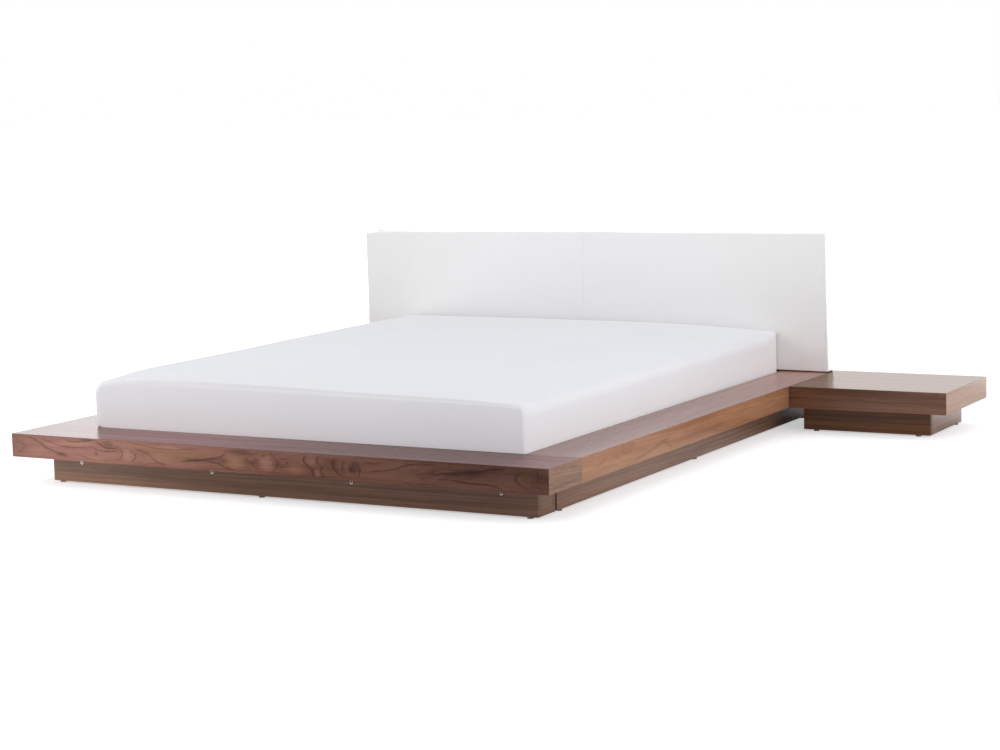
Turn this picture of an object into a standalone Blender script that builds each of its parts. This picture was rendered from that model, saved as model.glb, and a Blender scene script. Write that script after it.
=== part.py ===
# Low platform bed with a walnut veneered deck, a recessed plinth with four LED lamps at the foot,
# a mattress in its well, an upholstered headboard and a bedside table on each side.
# The bed's foot end faces -Y and its head end +Y. X = 0 is its middle, Y = 0 half its length and
# Z = 0 the floor. Left and right are named as seen from the foot.
import math

import bmesh
import bpy
import numpy as np
from mathutils import Vector

# Joints
JOINT_GAP = 0.0003                  # air left between two boards that meet
MITRE_GAP = JOINT_GAP / math.sqrt(2)  # the same gap, measured along a board cut at 45 degrees

# Mattress
MATTRESS_WIDTH = 1.600
MATTRESS_LENGTH = 2.000
MATTRESS_EDGE_HEIGHT = 0.195        # underside to the rounded top edge
MATTRESS_CROWN = 0.017              # how much higher the middle of the top is
MATTRESS_SEAT_DEPTH = 0.040         # how far the underside lies below the deck
MATTRESS_EDGE_RADIUS = 0.030
MATTRESS_BASE_RADIUS = 0.010
MATTRESS_CORNER_RADIUS = 0.050
MATTRESS_SIDE_DRAW = 0.003          # how far each side is drawn in halfway along
MATTRESS_CLEARANCE = 0.0015         # to the deck boards around it

# Deck: the flat walnut frame round the mattress
DECK_TOP_HEIGHT = 0.1700
DECK_EDGE_HEIGHT = 0.0765           # height of the edge seen from outside
FRONT_DECK_DEPTH = 0.2100
SIDE_DECK_WIDTH = 0.1870
BOARD_THICKNESS = 0.018

# Plinth: the recessed base that carries the deck
PLINTH_FRONT_INSET = 0.0965
PLINTH_SIDE_INSET = 0.0890
PLINTH_REAR_INSET = 0.058
PLINTH_BOX_DEPTH = 0.1085           # front plinth box, front to back
PLINTH_BREAK = 0.0105               # open joint between the front box and the side plinths
GLIDE_HEIGHT = 0.005
GLIDE_DIAMETER = 0.020
GLIDE_ROOT = 0.002                  # how far a glide's stem sinks into its board
GLIDE_END_INSET = 0.030             # from a board's end to its glide
FRONT_MIDDLE_GLIDE_OFFSET = 0.080   # the front plinth's middle glide sits left of the centre

# Slatted base
SLAT_COUNT = 12
SLAT_WIDTH = 0.090
SLAT_THICKNESS = 0.018
SLAT_EDGE_RADIUS = 0.003
SLAT_END_CLEARANCE = 0.002
SLAT_END_MARGIN = 0.025             # from the well's end to the first slat
LEDGE_WIDTH = 0.030
LEDGE_HEIGHT = 0.030
BEAM_WIDTH = 0.045
BEAM_HEIGHT = 0.060
LEG_WIDTH = 0.040

# Headboard
HEADBOARD_HEIGHT = 0.510            # above the deck
HEADBOARD_THICKNESS = 0.078
HEADBOARD_SHADOW_GAP = 0.004        # dark line below the pads
BACK_PANEL_THICKNESS = 0.012
PAD_CROWN = 0.005
PAD_EDGE_RADIUS = 0.010
PAD_BACK_RADIUS = 0.002
PAD_CORNER_RADIUS = 0.012
PAD_SIDE_DRAW = 0.0015
PAD_SEAM_OFFSET = 0.013             # the joint between the pads lies this far left of the middle
BRACKET_END_INSET = 0.4285          # from the headboard's end to the bracket's middle
BRACKET_WIDTH = 0.040
BRACKET_THICKNESS = 0.003
BRACKET_LOWER_REACH = 0.060         # below the deck's top
BRACKET_UPPER_REACH = 0.220         # above the deck's top
BRACKET_EDGE_RADIUS = 0.0008

# LED lighting
LAMP_COUNT = 4
LAMP_END_INSET = 0.1195             # from the plinth's end to the first and the last lamp
LAMP_HEIGHT = 0.0700                # centre above the floor
LAMP_RIM_RADIUS = 0.0062
LAMP_RIM_THICKNESS = 0.0024
LAMP_LENS_RADIUS = 0.0030
LAMP_LENS_DEPTH = 0.0014            # the lens sits this far behind the rim
LAMP_BARREL_RADIUS = 0.0042
LAMP_BARREL_CLEARANCE = 0.0003
LAMP_NUT_RADIUS = 0.0062
LAMP_NUT_THICKNESS = 0.0040
DRIVER_END_INSET = 0.600            # from the rear plinth's right end to the driver's middle
DRIVER_WIDTH = 0.140
DRIVER_DEPTH = 0.030
DRIVER_HEIGHT = 0.046
DRIVER_FLOOR_CLEARANCE = 0.030
DRIVER_EDGE_RADIUS = 0.003
INLET_WIDTH = 0.020
INLET_HEIGHT = 0.014
INLET_DEPTH = 0.012

# Bedside tables
TABLE_WIDTH = 0.575
TABLE_DEPTH = 0.462
TABLE_PLINTH_INNER_INSET = 0.0207
TABLE_PLINTH_OUTER_INSET = 0.0862
TABLE_PLINTH_FRONT_INSET = 0.0905
TABLE_GLIDE_END_INSET = 0.045

# How finely round shapes are cut
SIDE_STEPS = 6                      # steps along each straight side of a cushion
CORNER_STEPS = 5
EDGE_STEPS = 4
BASE_STEPS = 2
GLIDE_SIDES = 12
LAMP_SIDES = 20
BEVEL_STEPS = 2
CROWN_SHARES = (0.06, 0.16, 0.34, 0.62, 1.0)  # rings on a crowned top, as shares of the way in
CROWN_REACH_SHARE = 0.80            # the crown's last ring, as a share of the half width
CORNER_FLOOR_SHARE = 0.25           # the smallest corner of an inner ring, as a share of the outer

# Derived lengths, widths and heights
WELL_HALF_WIDTH = MATTRESS_WIDTH / 2 + MATTRESS_CLEARANCE
WELL_LENGTH = MATTRESS_LENGTH + 2 * MATTRESS_CLEARANCE
DECK_HALF_WIDTH = WELL_HALF_WIDTH + SIDE_DECK_WIDTH
BED_LENGTH = FRONT_DECK_DEPTH + WELL_LENGTH + HEADBOARD_THICKNESS
OVERALL_LENGTH = BED_LENGTH + JOINT_GAP + BRACKET_THICKNESS
FOOT_Y = -OVERALL_LENGTH / 2
WELL_FRONT_Y = FOOT_Y + FRONT_DECK_DEPTH
WELL_REAR_Y = WELL_FRONT_Y + WELL_LENGTH
HEAD_Y = FOOT_Y + BED_LENGTH
DECK_UNDERSIDE = DECK_TOP_HEIGHT - BOARD_THICKNESS
EDGE_BOTTOM = DECK_TOP_HEIGHT - DECK_EDGE_HEIGHT
BOARD_TOP = DECK_UNDERSIDE - JOINT_GAP          # top of every board that carries the deck
MATTRESS_BOTTOM = DECK_TOP_HEIGHT - MATTRESS_SEAT_DEPTH
SLAT_TOP = MATTRESS_BOTTOM - JOINT_GAP
LEDGE_TOP = SLAT_TOP - SLAT_THICKNESS - JOINT_GAP
PLINTH_FRONT_Y = FOOT_Y + PLINTH_FRONT_INSET
PLINTH_BOX_REAR_Y = PLINTH_FRONT_Y + PLINTH_BOX_DEPTH
PLINTH_REAR_Y = HEAD_Y - PLINTH_REAR_INSET
PLINTH_HALF_WIDTH = DECK_HALF_WIDTH - PLINTH_SIDE_INSET
BACK_PANEL_FRONT_Y = HEAD_Y - BACK_PANEL_THICKNESS
PAD_BACK_Y = BACK_PANEL_FRONT_Y - JOINT_GAP
PAD_DEPTH = HEADBOARD_THICKNESS - BACK_PANEL_THICKNESS - JOINT_GAP
TABLE_FRONT_Y = HEAD_Y - TABLE_DEPTH
TABLE_INNER_X = DECK_HALF_WIDTH + JOINT_GAP
TABLE_OUTER_X = TABLE_INNER_X + TABLE_WIDTH


def both_sides():
    return (("left", -1), ("right", 1))


def direction(word):
    """The axis that a word names, and the sense along it."""
    return {"left": (0, -1), "right": (0, 1), "foot": (1, -1), "head": (1, 1), "up": (2, 1)}[word]


def clear_scene():
    for item in list(bpy.data.objects):
        bpy.data.objects.remove(item, do_unlink=True)


def make_material(name, color, roughness, metallic=0.0):
    material = bpy.data.materials.new(name)
    material.use_nodes = True
    shader = material.node_tree.nodes["Principled BSDF"]
    shader.inputs["Base Color"].default_value = (*color, 1.0)
    shader.inputs["Roughness"].default_value = roughness
    shader.inputs["Metallic"].default_value = metallic
    return material


def make_materials():
    return {
        "walnut": make_material("deck_walnut", (0.262, 0.128, 0.085), 0.34),
        "plinth": make_material("plinth_walnut", (0.155, 0.096, 0.070), 0.48),
        "cover": make_material("mattress_cover", (0.86, 0.86, 0.88), 0.90),
        "leather": make_material("headboard_leather", (0.86, 0.85, 0.85), 0.45),
        "pine": make_material("slat_pine", (0.63, 0.44, 0.26), 0.60),
        "rail": make_material("rail_walnut", (0.155, 0.096, 0.070), 0.55),
        "steel": make_material("bracket_steel", (0.48, 0.49, 0.51), 0.35, 1.0),
        "chrome": make_material("lamp_chrome", (0.82, 0.82, 0.83), 0.16, 1.0),
        "plastic": make_material("driver_plastic", (0.025, 0.025, 0.027), 0.50),
    }


def add_object(name, mesh, material):
    item = bpy.data.objects.new(name, mesh)
    bpy.context.scene.collection.objects.link(item)
    mesh.materials.clear()
    mesh.materials.append(material)
    return item


def mesh_from_bmesh(name, shape):
    bmesh.ops.recalc_face_normals(shape, faces=shape.faces)
    mesh = bpy.data.meshes.new(name)
    shape.to_mesh(mesh)
    shape.free()
    return mesh


def slab(name, low, high, outer, mitres, material):
    """A board from its low to its high corner. outer is the direction of its good face. Each of
    its sides in mitres is cut at 45 degrees, so that the board is longest on that face."""
    axis, sense = direction(outer)
    mitres = [direction(word) for word in mitres]
    thickness = high[axis] - low[axis]
    low, high = list(low), list(high)
    for side_axis, side in mitres:
        if side > 0:
            high[side_axis] -= MITRE_GAP
        else:
            low[side_axis] += MITRE_GAP
    shape = bmesh.new()
    for ends in np.ndindex(2, 2, 2):
        point = [high[i] if end else low[i] for i, end in enumerate(ends)]
        on_inner_face = ends[axis] != (sense > 0)
        for side_axis, side in mitres:
            if on_inner_face and ends[side_axis] == (side > 0):
                point[side_axis] -= side * thickness
        shape.verts.new(point)
    bmesh.ops.convex_hull(shape, input=shape.verts)
    return add_object(name, mesh_from_bmesh(name, shape), material)


def block(name, low, high, material, edge_radius=0.0):
    """A plain bar or box, placed by its centre, with rounded edges where a radius is given."""
    size = Vector(high) - Vector(low)
    shape = bmesh.new()
    bmesh.ops.create_cube(shape, size=1)
    bmesh.ops.scale(shape, vec=size, verts=shape.verts)
    item = add_object(name, mesh_from_bmesh(name, shape), material)
    item.location = (Vector(low) + Vector(high)) / 2
    if edge_radius > 0:
        bevel = item.modifiers.new("rounded_edges", "BEVEL")
        bevel.width = min(edge_radius, min(size) / 3)
        bevel.segments = BEVEL_STEPS
    return item


def cylinder(name, centre, radius, depth, sides, axis):
    """A helper cylinder along Y or Z."""
    shape = bmesh.new()
    bmesh.ops.create_cone(shape, cap_ends=True, segments=sides, radius1=radius, radius2=radius, depth=depth)
    mesh = bpy.data.meshes.new(name)
    shape.to_mesh(mesh)
    shape.free()
    tool = bpy.data.objects.new(name, mesh)
    bpy.context.scene.collection.objects.link(tool)
    tool.location = centre
    if axis == 1:
        tool.rotation_euler.x = math.pi / 2
    return tool


def combine(item, tool, operation):
    """Joins the tool to the item or cuts it out, and keeps the result as the item's own mesh."""
    modifier = item.modifiers.new("combine", "BOOLEAN")
    modifier.operation = operation
    modifier.object = tool
    modifier.solver = "EXACT"
    bpy.context.view_layer.update()
    result = item.evaluated_get(bpy.context.evaluated_depsgraph_get())
    mesh = bpy.data.meshes.new_from_object(result)
    item.modifiers.clear()
    item.data = mesh
    bpy.data.objects.remove(tool, do_unlink=True)


def add_glides(board, places):
    """Nails a round plastic glide under a board at each (x, y)."""
    for x, y in places:
        depth = GLIDE_HEIGHT + GLIDE_ROOT
        glide = cylinder("glide", (x, y, depth / 2), GLIDE_DIAMETER / 2, depth, GLIDE_SIDES, 2)
        combine(board, glide, "UNION")


def prism(name, outline, start, end, material):
    """A bar along Y whose section is the outline of (x, z) points."""
    shape = bmesh.new()
    first = [shape.verts.new((x, start, z)) for x, z in outline]
    last = [shape.verts.new((x, end, z)) for x, z in outline]
    shape.faces.new(first)
    shape.faces.new(last)
    for i in range(len(outline)):
        j = (i + 1) % len(outline)
        shape.faces.new((first[i], first[j], last[j], last[i]))
    return add_object(name, mesh_from_bmesh(name, shape), material)


def turned(name, profile, sides, material):
    """A turned piece round Z from its (radius, height) profile, which starts and ends on the axis."""
    shape = bmesh.new()
    rings = []
    for radius, height in profile:
        if radius == 0:
            rings.append([shape.verts.new((0, 0, height))])
        else:
            turn = [2 * math.pi * i / sides for i in range(sides)]
            ring = [shape.verts.new((radius * math.cos(a), radius * math.sin(a), height)) for a in turn]
            rings.append(ring)
    for lower, upper in zip(rings, rings[1:]):
        for i in range(sides):
            j = (i + 1) % sides
            corners = [lower[i % len(lower)], lower[j % len(lower)], upper[j % len(upper)], upper[i % len(upper)]]
            shape.faces.new(list(dict.fromkeys(corners)))
    mesh = mesh_from_bmesh(name, shape)
    mesh.shade_smooth()
    mesh.set_sharp_from_angle(angle=math.radians(30))
    return add_object(name, mesh, material)


def cushion_outline(half_width, half_length, corner_radius, draw):
    """The rounded rectangle of one ring of a cushion, with its sides drawn in halfway along."""
    inner = Vector((half_width - corner_radius, half_length - corner_radius))
    corners = ((1, 1), (-1, 1), (-1, -1), (1, -1))
    points = []
    for index, (sx, sy) in enumerate(corners):
        centre = Vector((sx * inner.x, sy * inner.y))
        for step in range(CORNER_STEPS + 1):
            angle = math.pi / 2 * (index + step / CORNER_STEPS)
            points.append(centre + corner_radius * Vector((math.cos(angle), math.sin(angle))))
        following = corners[(index + 1) % len(corners)]
        angle = math.pi / 2 * (index + 1)
        outward = Vector((math.cos(angle), math.sin(angle)))
        begin = points[-1]
        finish = Vector((following[0] * inner.x, following[1] * inner.y)) + corner_radius * outward
        for step in range(1, SIDE_STEPS):
            share = step / SIDE_STEPS
            drawn = draw * (1 - (2 * share - 1) ** 2)
            points.append(begin.lerp(finish, share) - drawn * outward)
    return points


def cushion(name, width, length, edge_height, crown, edge_radius, base_radius, corner_radius, draw, material):
    """A cushion on its flat back at Z = 0: upright sides, a rounded edge and a crowned top."""
    rings = []
    for step in range(BASE_STEPS + 1):
        angle = math.pi / 2 * step / BASE_STEPS
        inset = base_radius * (1 - math.sin(angle))
        rings.append((inset, base_radius * (1 - math.cos(angle)), draw * step / BASE_STEPS))
    for step in range(EDGE_STEPS + 1):
        angle = math.pi / 2 * step / EDGE_STEPS
        inset = edge_radius * (1 - math.cos(angle))
        rings.append((inset, edge_height - edge_radius * (1 - math.sin(angle)), draw))
    reach = min(width, length) / 2 * CROWN_REACH_SHARE - edge_radius
    for share in CROWN_SHARES:
        height = edge_height + crown * (1 - (1 - share) ** 2)
        rings.append((edge_radius + reach * share, height, draw * (1 - share)))
    shape = bmesh.new()
    loops = []
    for inset, height, drawn in rings:
        radius = max(corner_radius - inset, corner_radius * CORNER_FLOOR_SHARE)
        outline = cushion_outline(width / 2 - inset, length / 2 - inset, radius, drawn)
        loops.append([shape.verts.new((point.x, point.y, height)) for point in outline])
    for lower, upper in zip(loops, loops[1:]):
        for i in range(len(lower)):
            j = (i + 1) % len(lower)
            shape.faces.new((lower[i], lower[j], upper[j], upper[i]))
    shape.faces.new(loops[0])
    shape.faces.new(loops[-1])
    mesh = mesh_from_bmesh(name, shape)
    mesh.shade_smooth()
    return add_object(name, mesh, material)


def build_front_deck(walnut):
    """The board across the foot end, with its front and its two ends mitred on."""
    outside = (FOOT_Y, EDGE_BOTTOM, WELL_FRONT_Y - JOINT_GAP, DECK_TOP_HEIGHT)
    front, bottom, rear, top = outside
    left, right = -DECK_HALF_WIDTH, DECK_HALF_WIDTH
    slab("front_top_board", (left, front, DECK_UNDERSIDE), (right, rear, top), "up",
         ("foot", "left", "right"), walnut)
    slab("front_fascia", (left, front, bottom), (right, front + BOARD_THICKNESS, top), "foot",
         ("up", "left", "right"), walnut)
    slab("front_end_left", (left, front, bottom), (left + BOARD_THICKNESS, rear, top), "left",
         ("up", "foot"), walnut)
    slab("front_end_right", (right - BOARD_THICKNESS, front, bottom), (right, rear, top), "right",
         ("up", "foot"), walnut)


def build_side_decks(walnut):
    """The boards along both sides of the mattress, each with an outer fascia mitred on."""
    for word, side in both_sides():
        inner, outer = side * WELL_HALF_WIDTH, side * DECK_HALF_WIDTH
        face = side * (DECK_HALF_WIDTH - BOARD_THICKNESS)
        slab(word + "_deck_board", (min(inner, outer), WELL_FRONT_Y, DECK_UNDERSIDE),
             (max(inner, outer), HEAD_Y, DECK_TOP_HEIGHT), "up", (word,), walnut)
        slab(word + "_fascia", (min(face, outer), WELL_FRONT_Y, EDGE_BOTTOM),
             (max(face, outer), HEAD_Y, DECK_TOP_HEIGHT), word, ("up",), walnut)


def build_head_deck(walnut):
    """The narrow board below the headboard, and the rail that closes the deck behind it."""
    half = WELL_HALF_WIDTH - JOINT_GAP
    slab("head_deck_board", (-half, WELL_REAR_Y, DECK_UNDERSIDE), (half, HEAD_Y, DECK_TOP_HEIGHT),
         "up", (), walnut)
    half = DECK_HALF_WIDTH - BOARD_THICKNESS - JOINT_GAP
    slab("rear_fascia", (-half, HEAD_Y - BOARD_THICKNESS, EDGE_BOTTOM), (half, HEAD_Y, BOARD_TOP),
         "head", (), walnut)


def build_front_plinth(plinth):
    """The box below the foot end: two boards across and a return between them at each end."""
    half = PLINTH_HALF_WIDTH
    front = slab("front_plinth", (-half, PLINTH_FRONT_Y, GLIDE_HEIGHT),
                 (half, PLINTH_FRONT_Y + BOARD_THICKNESS, BOARD_TOP), "foot", (), plinth)
    middle = PLINTH_FRONT_Y + BOARD_THICKNESS / 2
    end = half - GLIDE_END_INSET
    add_glides(front, [(x, middle) for x in (-end, -FRONT_MIDDLE_GLIDE_OFFSET, end)])
    hole = LAMP_BARREL_RADIUS + LAMP_BARREL_CLEARANCE
    for x in lamp_places():
        bore = cylinder("bore", (x, middle, LAMP_HEIGHT), hole, 2 * BOARD_THICKNESS, LAMP_SIDES, 1)
        combine(front, bore, "DIFFERENCE")
    back = slab("front_plinth_back", (-half, PLINTH_BOX_REAR_Y - BOARD_THICKNESS, GLIDE_HEIGHT),
                (half, PLINTH_BOX_REAR_Y, BOARD_TOP), "head", (), plinth)
    add_glides(back, [(x, PLINTH_BOX_REAR_Y - BOARD_THICKNESS / 2) for x in (-end, end)])
    start = PLINTH_FRONT_Y + BOARD_THICKNESS + JOINT_GAP
    stop = PLINTH_BOX_REAR_Y - BOARD_THICKNESS - JOINT_GAP
    for word, side in both_sides():
        outer, inner = side * half, side * (half - BOARD_THICKNESS)
        slab("front_plinth_return_" + word, (min(inner, outer), start, GLIDE_HEIGHT),
             (max(inner, outer), stop, BOARD_TOP), word, (), plinth)


def build_side_plinths(plinth):
    """The long boards below both side decks, and the board across the head end between them."""
    start = PLINTH_BOX_REAR_Y + PLINTH_BREAK
    for word, side in both_sides():
        outer, inner = side * PLINTH_HALF_WIDTH, side * (PLINTH_HALF_WIDTH - BOARD_THICKNESS)
        board = slab(word + "_plinth", (min(inner, outer), start, GLIDE_HEIGHT),
                     (max(inner, outer), PLINTH_REAR_Y, BOARD_TOP), word, (), plinth)
        ends = (start + GLIDE_END_INSET, (start + PLINTH_REAR_Y) / 2, PLINTH_REAR_Y - GLIDE_END_INSET)
        add_glides(board, [((inner + outer) / 2, y) for y in ends])
    half = PLINTH_HALF_WIDTH - BOARD_THICKNESS - JOINT_GAP
    rear = slab("rear_plinth", (-half, PLINTH_REAR_Y - BOARD_THICKNESS, GLIDE_HEIGHT),
                (half, PLINTH_REAR_Y, BOARD_TOP), "head", (), plinth)
    end = half - GLIDE_END_INSET
    add_glides(rear, [(x, PLINTH_REAR_Y - BOARD_THICKNESS / 2) for x in (-end, 0, end)])


def build_slat_rails(rail):
    """The upright rails beside the mattress well, each with a ledge for the ends of the slats."""
    start = PLINTH_BOX_REAR_Y + JOINT_GAP
    end = PLINTH_REAR_Y - BOARD_THICKNESS - JOINT_GAP
    for word, side in both_sides():
        face = side * (WELL_HALF_WIDTH + JOINT_GAP)
        back = face + side * BOARD_THICKNESS
        lip = face - side * LEDGE_WIDTH
        outline = ((back, GLIDE_HEIGHT), (back, BOARD_TOP), (face, BOARD_TOP), (face, LEDGE_TOP),
                   (lip, LEDGE_TOP), (lip, LEDGE_TOP - LEDGE_HEIGHT), (face, LEDGE_TOP - LEDGE_HEIGHT),
                   (face, GLIDE_HEIGHT))
        board = prism(word + "_slat_rail", outline, start, end, rail)
        places = (start + GLIDE_END_INSET, (start + end) / 2, end - GLIDE_END_INSET)
        add_glides(board, [((face + back) / 2, y) for y in places])


def build_slatted_base(pine, rail):
    """The slats, and the beam with its leg that carries them in the middle."""
    start = PLINTH_BOX_REAR_Y + JOINT_GAP
    end = PLINTH_REAR_Y - BOARD_THICKNESS - JOINT_GAP
    half = WELL_HALF_WIDTH - SLAT_END_CLEARANCE
    first = start + SLAT_END_MARGIN + SLAT_WIDTH / 2
    last = end - SLAT_END_MARGIN - SLAT_WIDTH / 2
    for index in range(SLAT_COUNT):
        middle = first + (last - first) * index / (SLAT_COUNT - 1)
        block(f"slat_{index + 1:02d}", (-half, middle - SLAT_WIDTH / 2, SLAT_TOP - SLAT_THICKNESS),
              (half, middle + SLAT_WIDTH / 2, SLAT_TOP), pine, SLAT_EDGE_RADIUS)
    bottom = LEDGE_TOP - BEAM_HEIGHT
    block("centre_beam", (-BEAM_WIDTH / 2, start, bottom), (BEAM_WIDTH / 2, end, LEDGE_TOP), rail)
    middle = (start + end) / 2
    leg = block("centre_leg", (-LEG_WIDTH / 2, middle - LEG_WIDTH / 2, GLIDE_HEIGHT),
                (LEG_WIDTH / 2, middle + LEG_WIDTH / 2, bottom - JOINT_GAP), rail)
    add_glides(leg, [(0, middle)])


def build_mattress(cover):
    mattress = cushion("mattress", MATTRESS_WIDTH, MATTRESS_LENGTH, MATTRESS_EDGE_HEIGHT, MATTRESS_CROWN,
                       MATTRESS_EDGE_RADIUS, MATTRESS_BASE_RADIUS, MATTRESS_CORNER_RADIUS,
                       MATTRESS_SIDE_DRAW, cover)
    mattress.location = (0, (WELL_FRONT_Y + WELL_REAR_Y) / 2, MATTRESS_BOTTOM)


def build_headboard(leather, steel):
    """Two upholstered pads side by side on a covered panel, held by two flat steel brackets."""
    height = HEADBOARD_HEIGHT - HEADBOARD_SHADOW_GAP
    for word, side in both_sides():
        end = side * DECK_HALF_WIDTH
        inner = side * JOINT_GAP / 2 - PAD_SEAM_OFFSET
        width = abs(end - inner)
        pad = cushion("headboard_pad_" + word, width, height, PAD_DEPTH - PAD_CROWN, PAD_CROWN,
                      PAD_EDGE_RADIUS, PAD_BACK_RADIUS, PAD_CORNER_RADIUS, PAD_SIDE_DRAW, leather)
        pad.rotation_euler.x = math.pi / 2
        middle = DECK_TOP_HEIGHT + HEADBOARD_SHADOW_GAP + height / 2
        pad.location = ((end + inner) / 2, PAD_BACK_Y, middle)
    half = DECK_HALF_WIDTH
    block("headboard_back_panel", (-half, BACK_PANEL_FRONT_Y, DECK_TOP_HEIGHT + JOINT_GAP),
          (half, HEAD_Y, DECK_TOP_HEIGHT + HEADBOARD_HEIGHT), leather)
    front = HEAD_Y + JOINT_GAP
    for word, side in both_sides():
        middle = side * (DECK_HALF_WIDTH - BRACKET_END_INSET)
        block("headboard_bracket_" + word,
              (middle - BRACKET_WIDTH / 2, front, DECK_TOP_HEIGHT - BRACKET_LOWER_REACH),
              (middle + BRACKET_WIDTH / 2, front + BRACKET_THICKNESS, DECK_TOP_HEIGHT + BRACKET_UPPER_REACH),
              steel, BRACKET_EDGE_RADIUS)


def lamp_places():
    end = PLINTH_HALF_WIDTH - LAMP_END_INSET
    return [end * (2 * index / (LAMP_COUNT - 1) - 1) for index in range(LAMP_COUNT)]


def build_lamps(chrome):
    """Small round lamps through the front plinth: a bright rim, a sunk lens seat and a nut behind."""
    seat = LAMP_RIM_THICKNESS - LAMP_LENS_DEPTH
    behind = -BOARD_THICKNESS - 2 * JOINT_GAP
    shoulder = LAMP_RIM_THICKNESS / 2
    profile = ((0, seat), (LAMP_LENS_RADIUS, seat), (LAMP_LENS_RADIUS, LAMP_RIM_THICKNESS),
               ((LAMP_LENS_RADIUS + LAMP_RIM_RADIUS) / 2, LAMP_RIM_THICKNESS),
               (LAMP_RIM_RADIUS, shoulder), (LAMP_RIM_RADIUS, 0), (LAMP_BARREL_RADIUS, 0),
               (LAMP_BARREL_RADIUS, behind), (LAMP_NUT_RADIUS, behind),
               (LAMP_NUT_RADIUS, behind - LAMP_NUT_THICKNESS), (0, behind - LAMP_NUT_THICKNESS))
    for index, x in enumerate(lamp_places()):
        lamp = turned(f"led_lamp_{index + 1}", profile, LAMP_SIDES, chrome)
        lamp.rotation_euler.x = math.pi / 2
        lamp.location = (x, PLINTH_FRONT_Y - JOINT_GAP, LAMP_HEIGHT)


def build_driver(plastic):
    """The lamps' power supply behind the rear plinth, with the inlet for its lead at one end."""
    front = PLINTH_REAR_Y + JOINT_GAP
    right_end = PLINTH_HALF_WIDTH - BOARD_THICKNESS - JOINT_GAP
    low_x = right_end - DRIVER_END_INSET - DRIVER_WIDTH / 2
    low = Vector((low_x, front, DRIVER_FLOOR_CLEARANCE))
    high = low + Vector((DRIVER_WIDTH, DRIVER_DEPTH, DRIVER_HEIGHT))
    driver = block("led_driver", low, high, plastic, DRIVER_EDGE_RADIUS)
    middle = (low + high) / 2
    reach = Vector((INLET_DEPTH, INLET_WIDTH / 2, INLET_HEIGHT / 2))
    mouth = Vector((high.x, middle.y, middle.z))
    inlet = block("inlet", mouth - reach, mouth + reach, plastic)
    combine(driver, inlet, "DIFFERENCE")


def build_table(word, side, walnut, plinth):
    """A bedside table flush with the deck: a top with its edges mitred on, above a recessed plinth."""
    name = word + "_table_"
    outer, inner = side * TABLE_OUTER_X, side * TABLE_INNER_X
    face = side * (TABLE_OUTER_X - BOARD_THICKNESS)
    low_x, high_x = min(inner, outer), max(inner, outer)
    slab(name + "top", (low_x, TABLE_FRONT_Y, DECK_UNDERSIDE), (high_x, HEAD_Y, DECK_TOP_HEIGHT), "up",
         ("foot", word), walnut)
    slab(name + "front", (low_x, TABLE_FRONT_Y, EDGE_BOTTOM),
         (high_x, TABLE_FRONT_Y + BOARD_THICKNESS, DECK_TOP_HEIGHT), "foot", ("up", word), walnut)
    slab(name + "outer_side", (min(face, outer), TABLE_FRONT_Y, EDGE_BOTTOM),
         (max(face, outer), HEAD_Y, DECK_TOP_HEIGHT), word, ("up", "foot"), walnut)
    closing = face - side * JOINT_GAP
    slab(name + "rear", (min(inner, closing), HEAD_Y - BOARD_THICKNESS, EDGE_BOTTOM),
         (max(inner, closing), HEAD_Y, BOARD_TOP), "head", (), walnut)
    near = side * (TABLE_INNER_X + TABLE_PLINTH_INNER_INSET)
    far = side * (TABLE_OUTER_X - TABLE_PLINTH_OUTER_INSET)
    front = TABLE_FRONT_Y + TABLE_PLINTH_FRONT_INSET
    board = slab(name + "plinth_front", (min(near, far), front, GLIDE_HEIGHT),
                 (max(near, far), front + BOARD_THICKNESS, BOARD_TOP), "foot", (), plinth)
    glides = (near + side * TABLE_GLIDE_END_INSET, far - side * TABLE_GLIDE_END_INSET)
    add_glides(board, [(x, front + BOARD_THICKNESS / 2) for x in glides])
    start = front + BOARD_THICKNESS + JOINT_GAP
    stop = HEAD_Y - BOARD_THICKNESS - JOINT_GAP
    for label, edge, step in (("plinth_inner", near, side), ("plinth_outer", far, -side)):
        facing = "right" if step < 0 else "left"
        back = edge + step * BOARD_THICKNESS
        board = slab(name + label, (min(edge, back), start, GLIDE_HEIGHT),
                     (max(edge, back), stop, BOARD_TOP), facing, (), plinth)
        add_glides(board, [((edge + back) / 2, stop - TABLE_GLIDE_END_INSET)])


def build_bed():
    clear_scene()
    materials = make_materials()
    build_front_deck(materials["walnut"])
    build_side_decks(materials["walnut"])
    build_head_deck(materials["walnut"])
    build_front_plinth(materials["plinth"])
    build_side_plinths(materials["plinth"])
    build_slat_rails(materials["rail"])
    build_slatted_base(materials["pine"], materials["rail"])
    build_mattress(materials["cover"])
    build_headboard(materials["leather"], materials["steel"])
    build_lamps(materials["chrome"])
    build_driver(materials["plastic"])
    for word, side in both_sides():
        build_table(word, side, materials["walnut"], materials["plinth"])


build_bed()
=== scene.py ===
import math

import bmesh
import bpy
from mathutils import Matrix, Vector, noise


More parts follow.
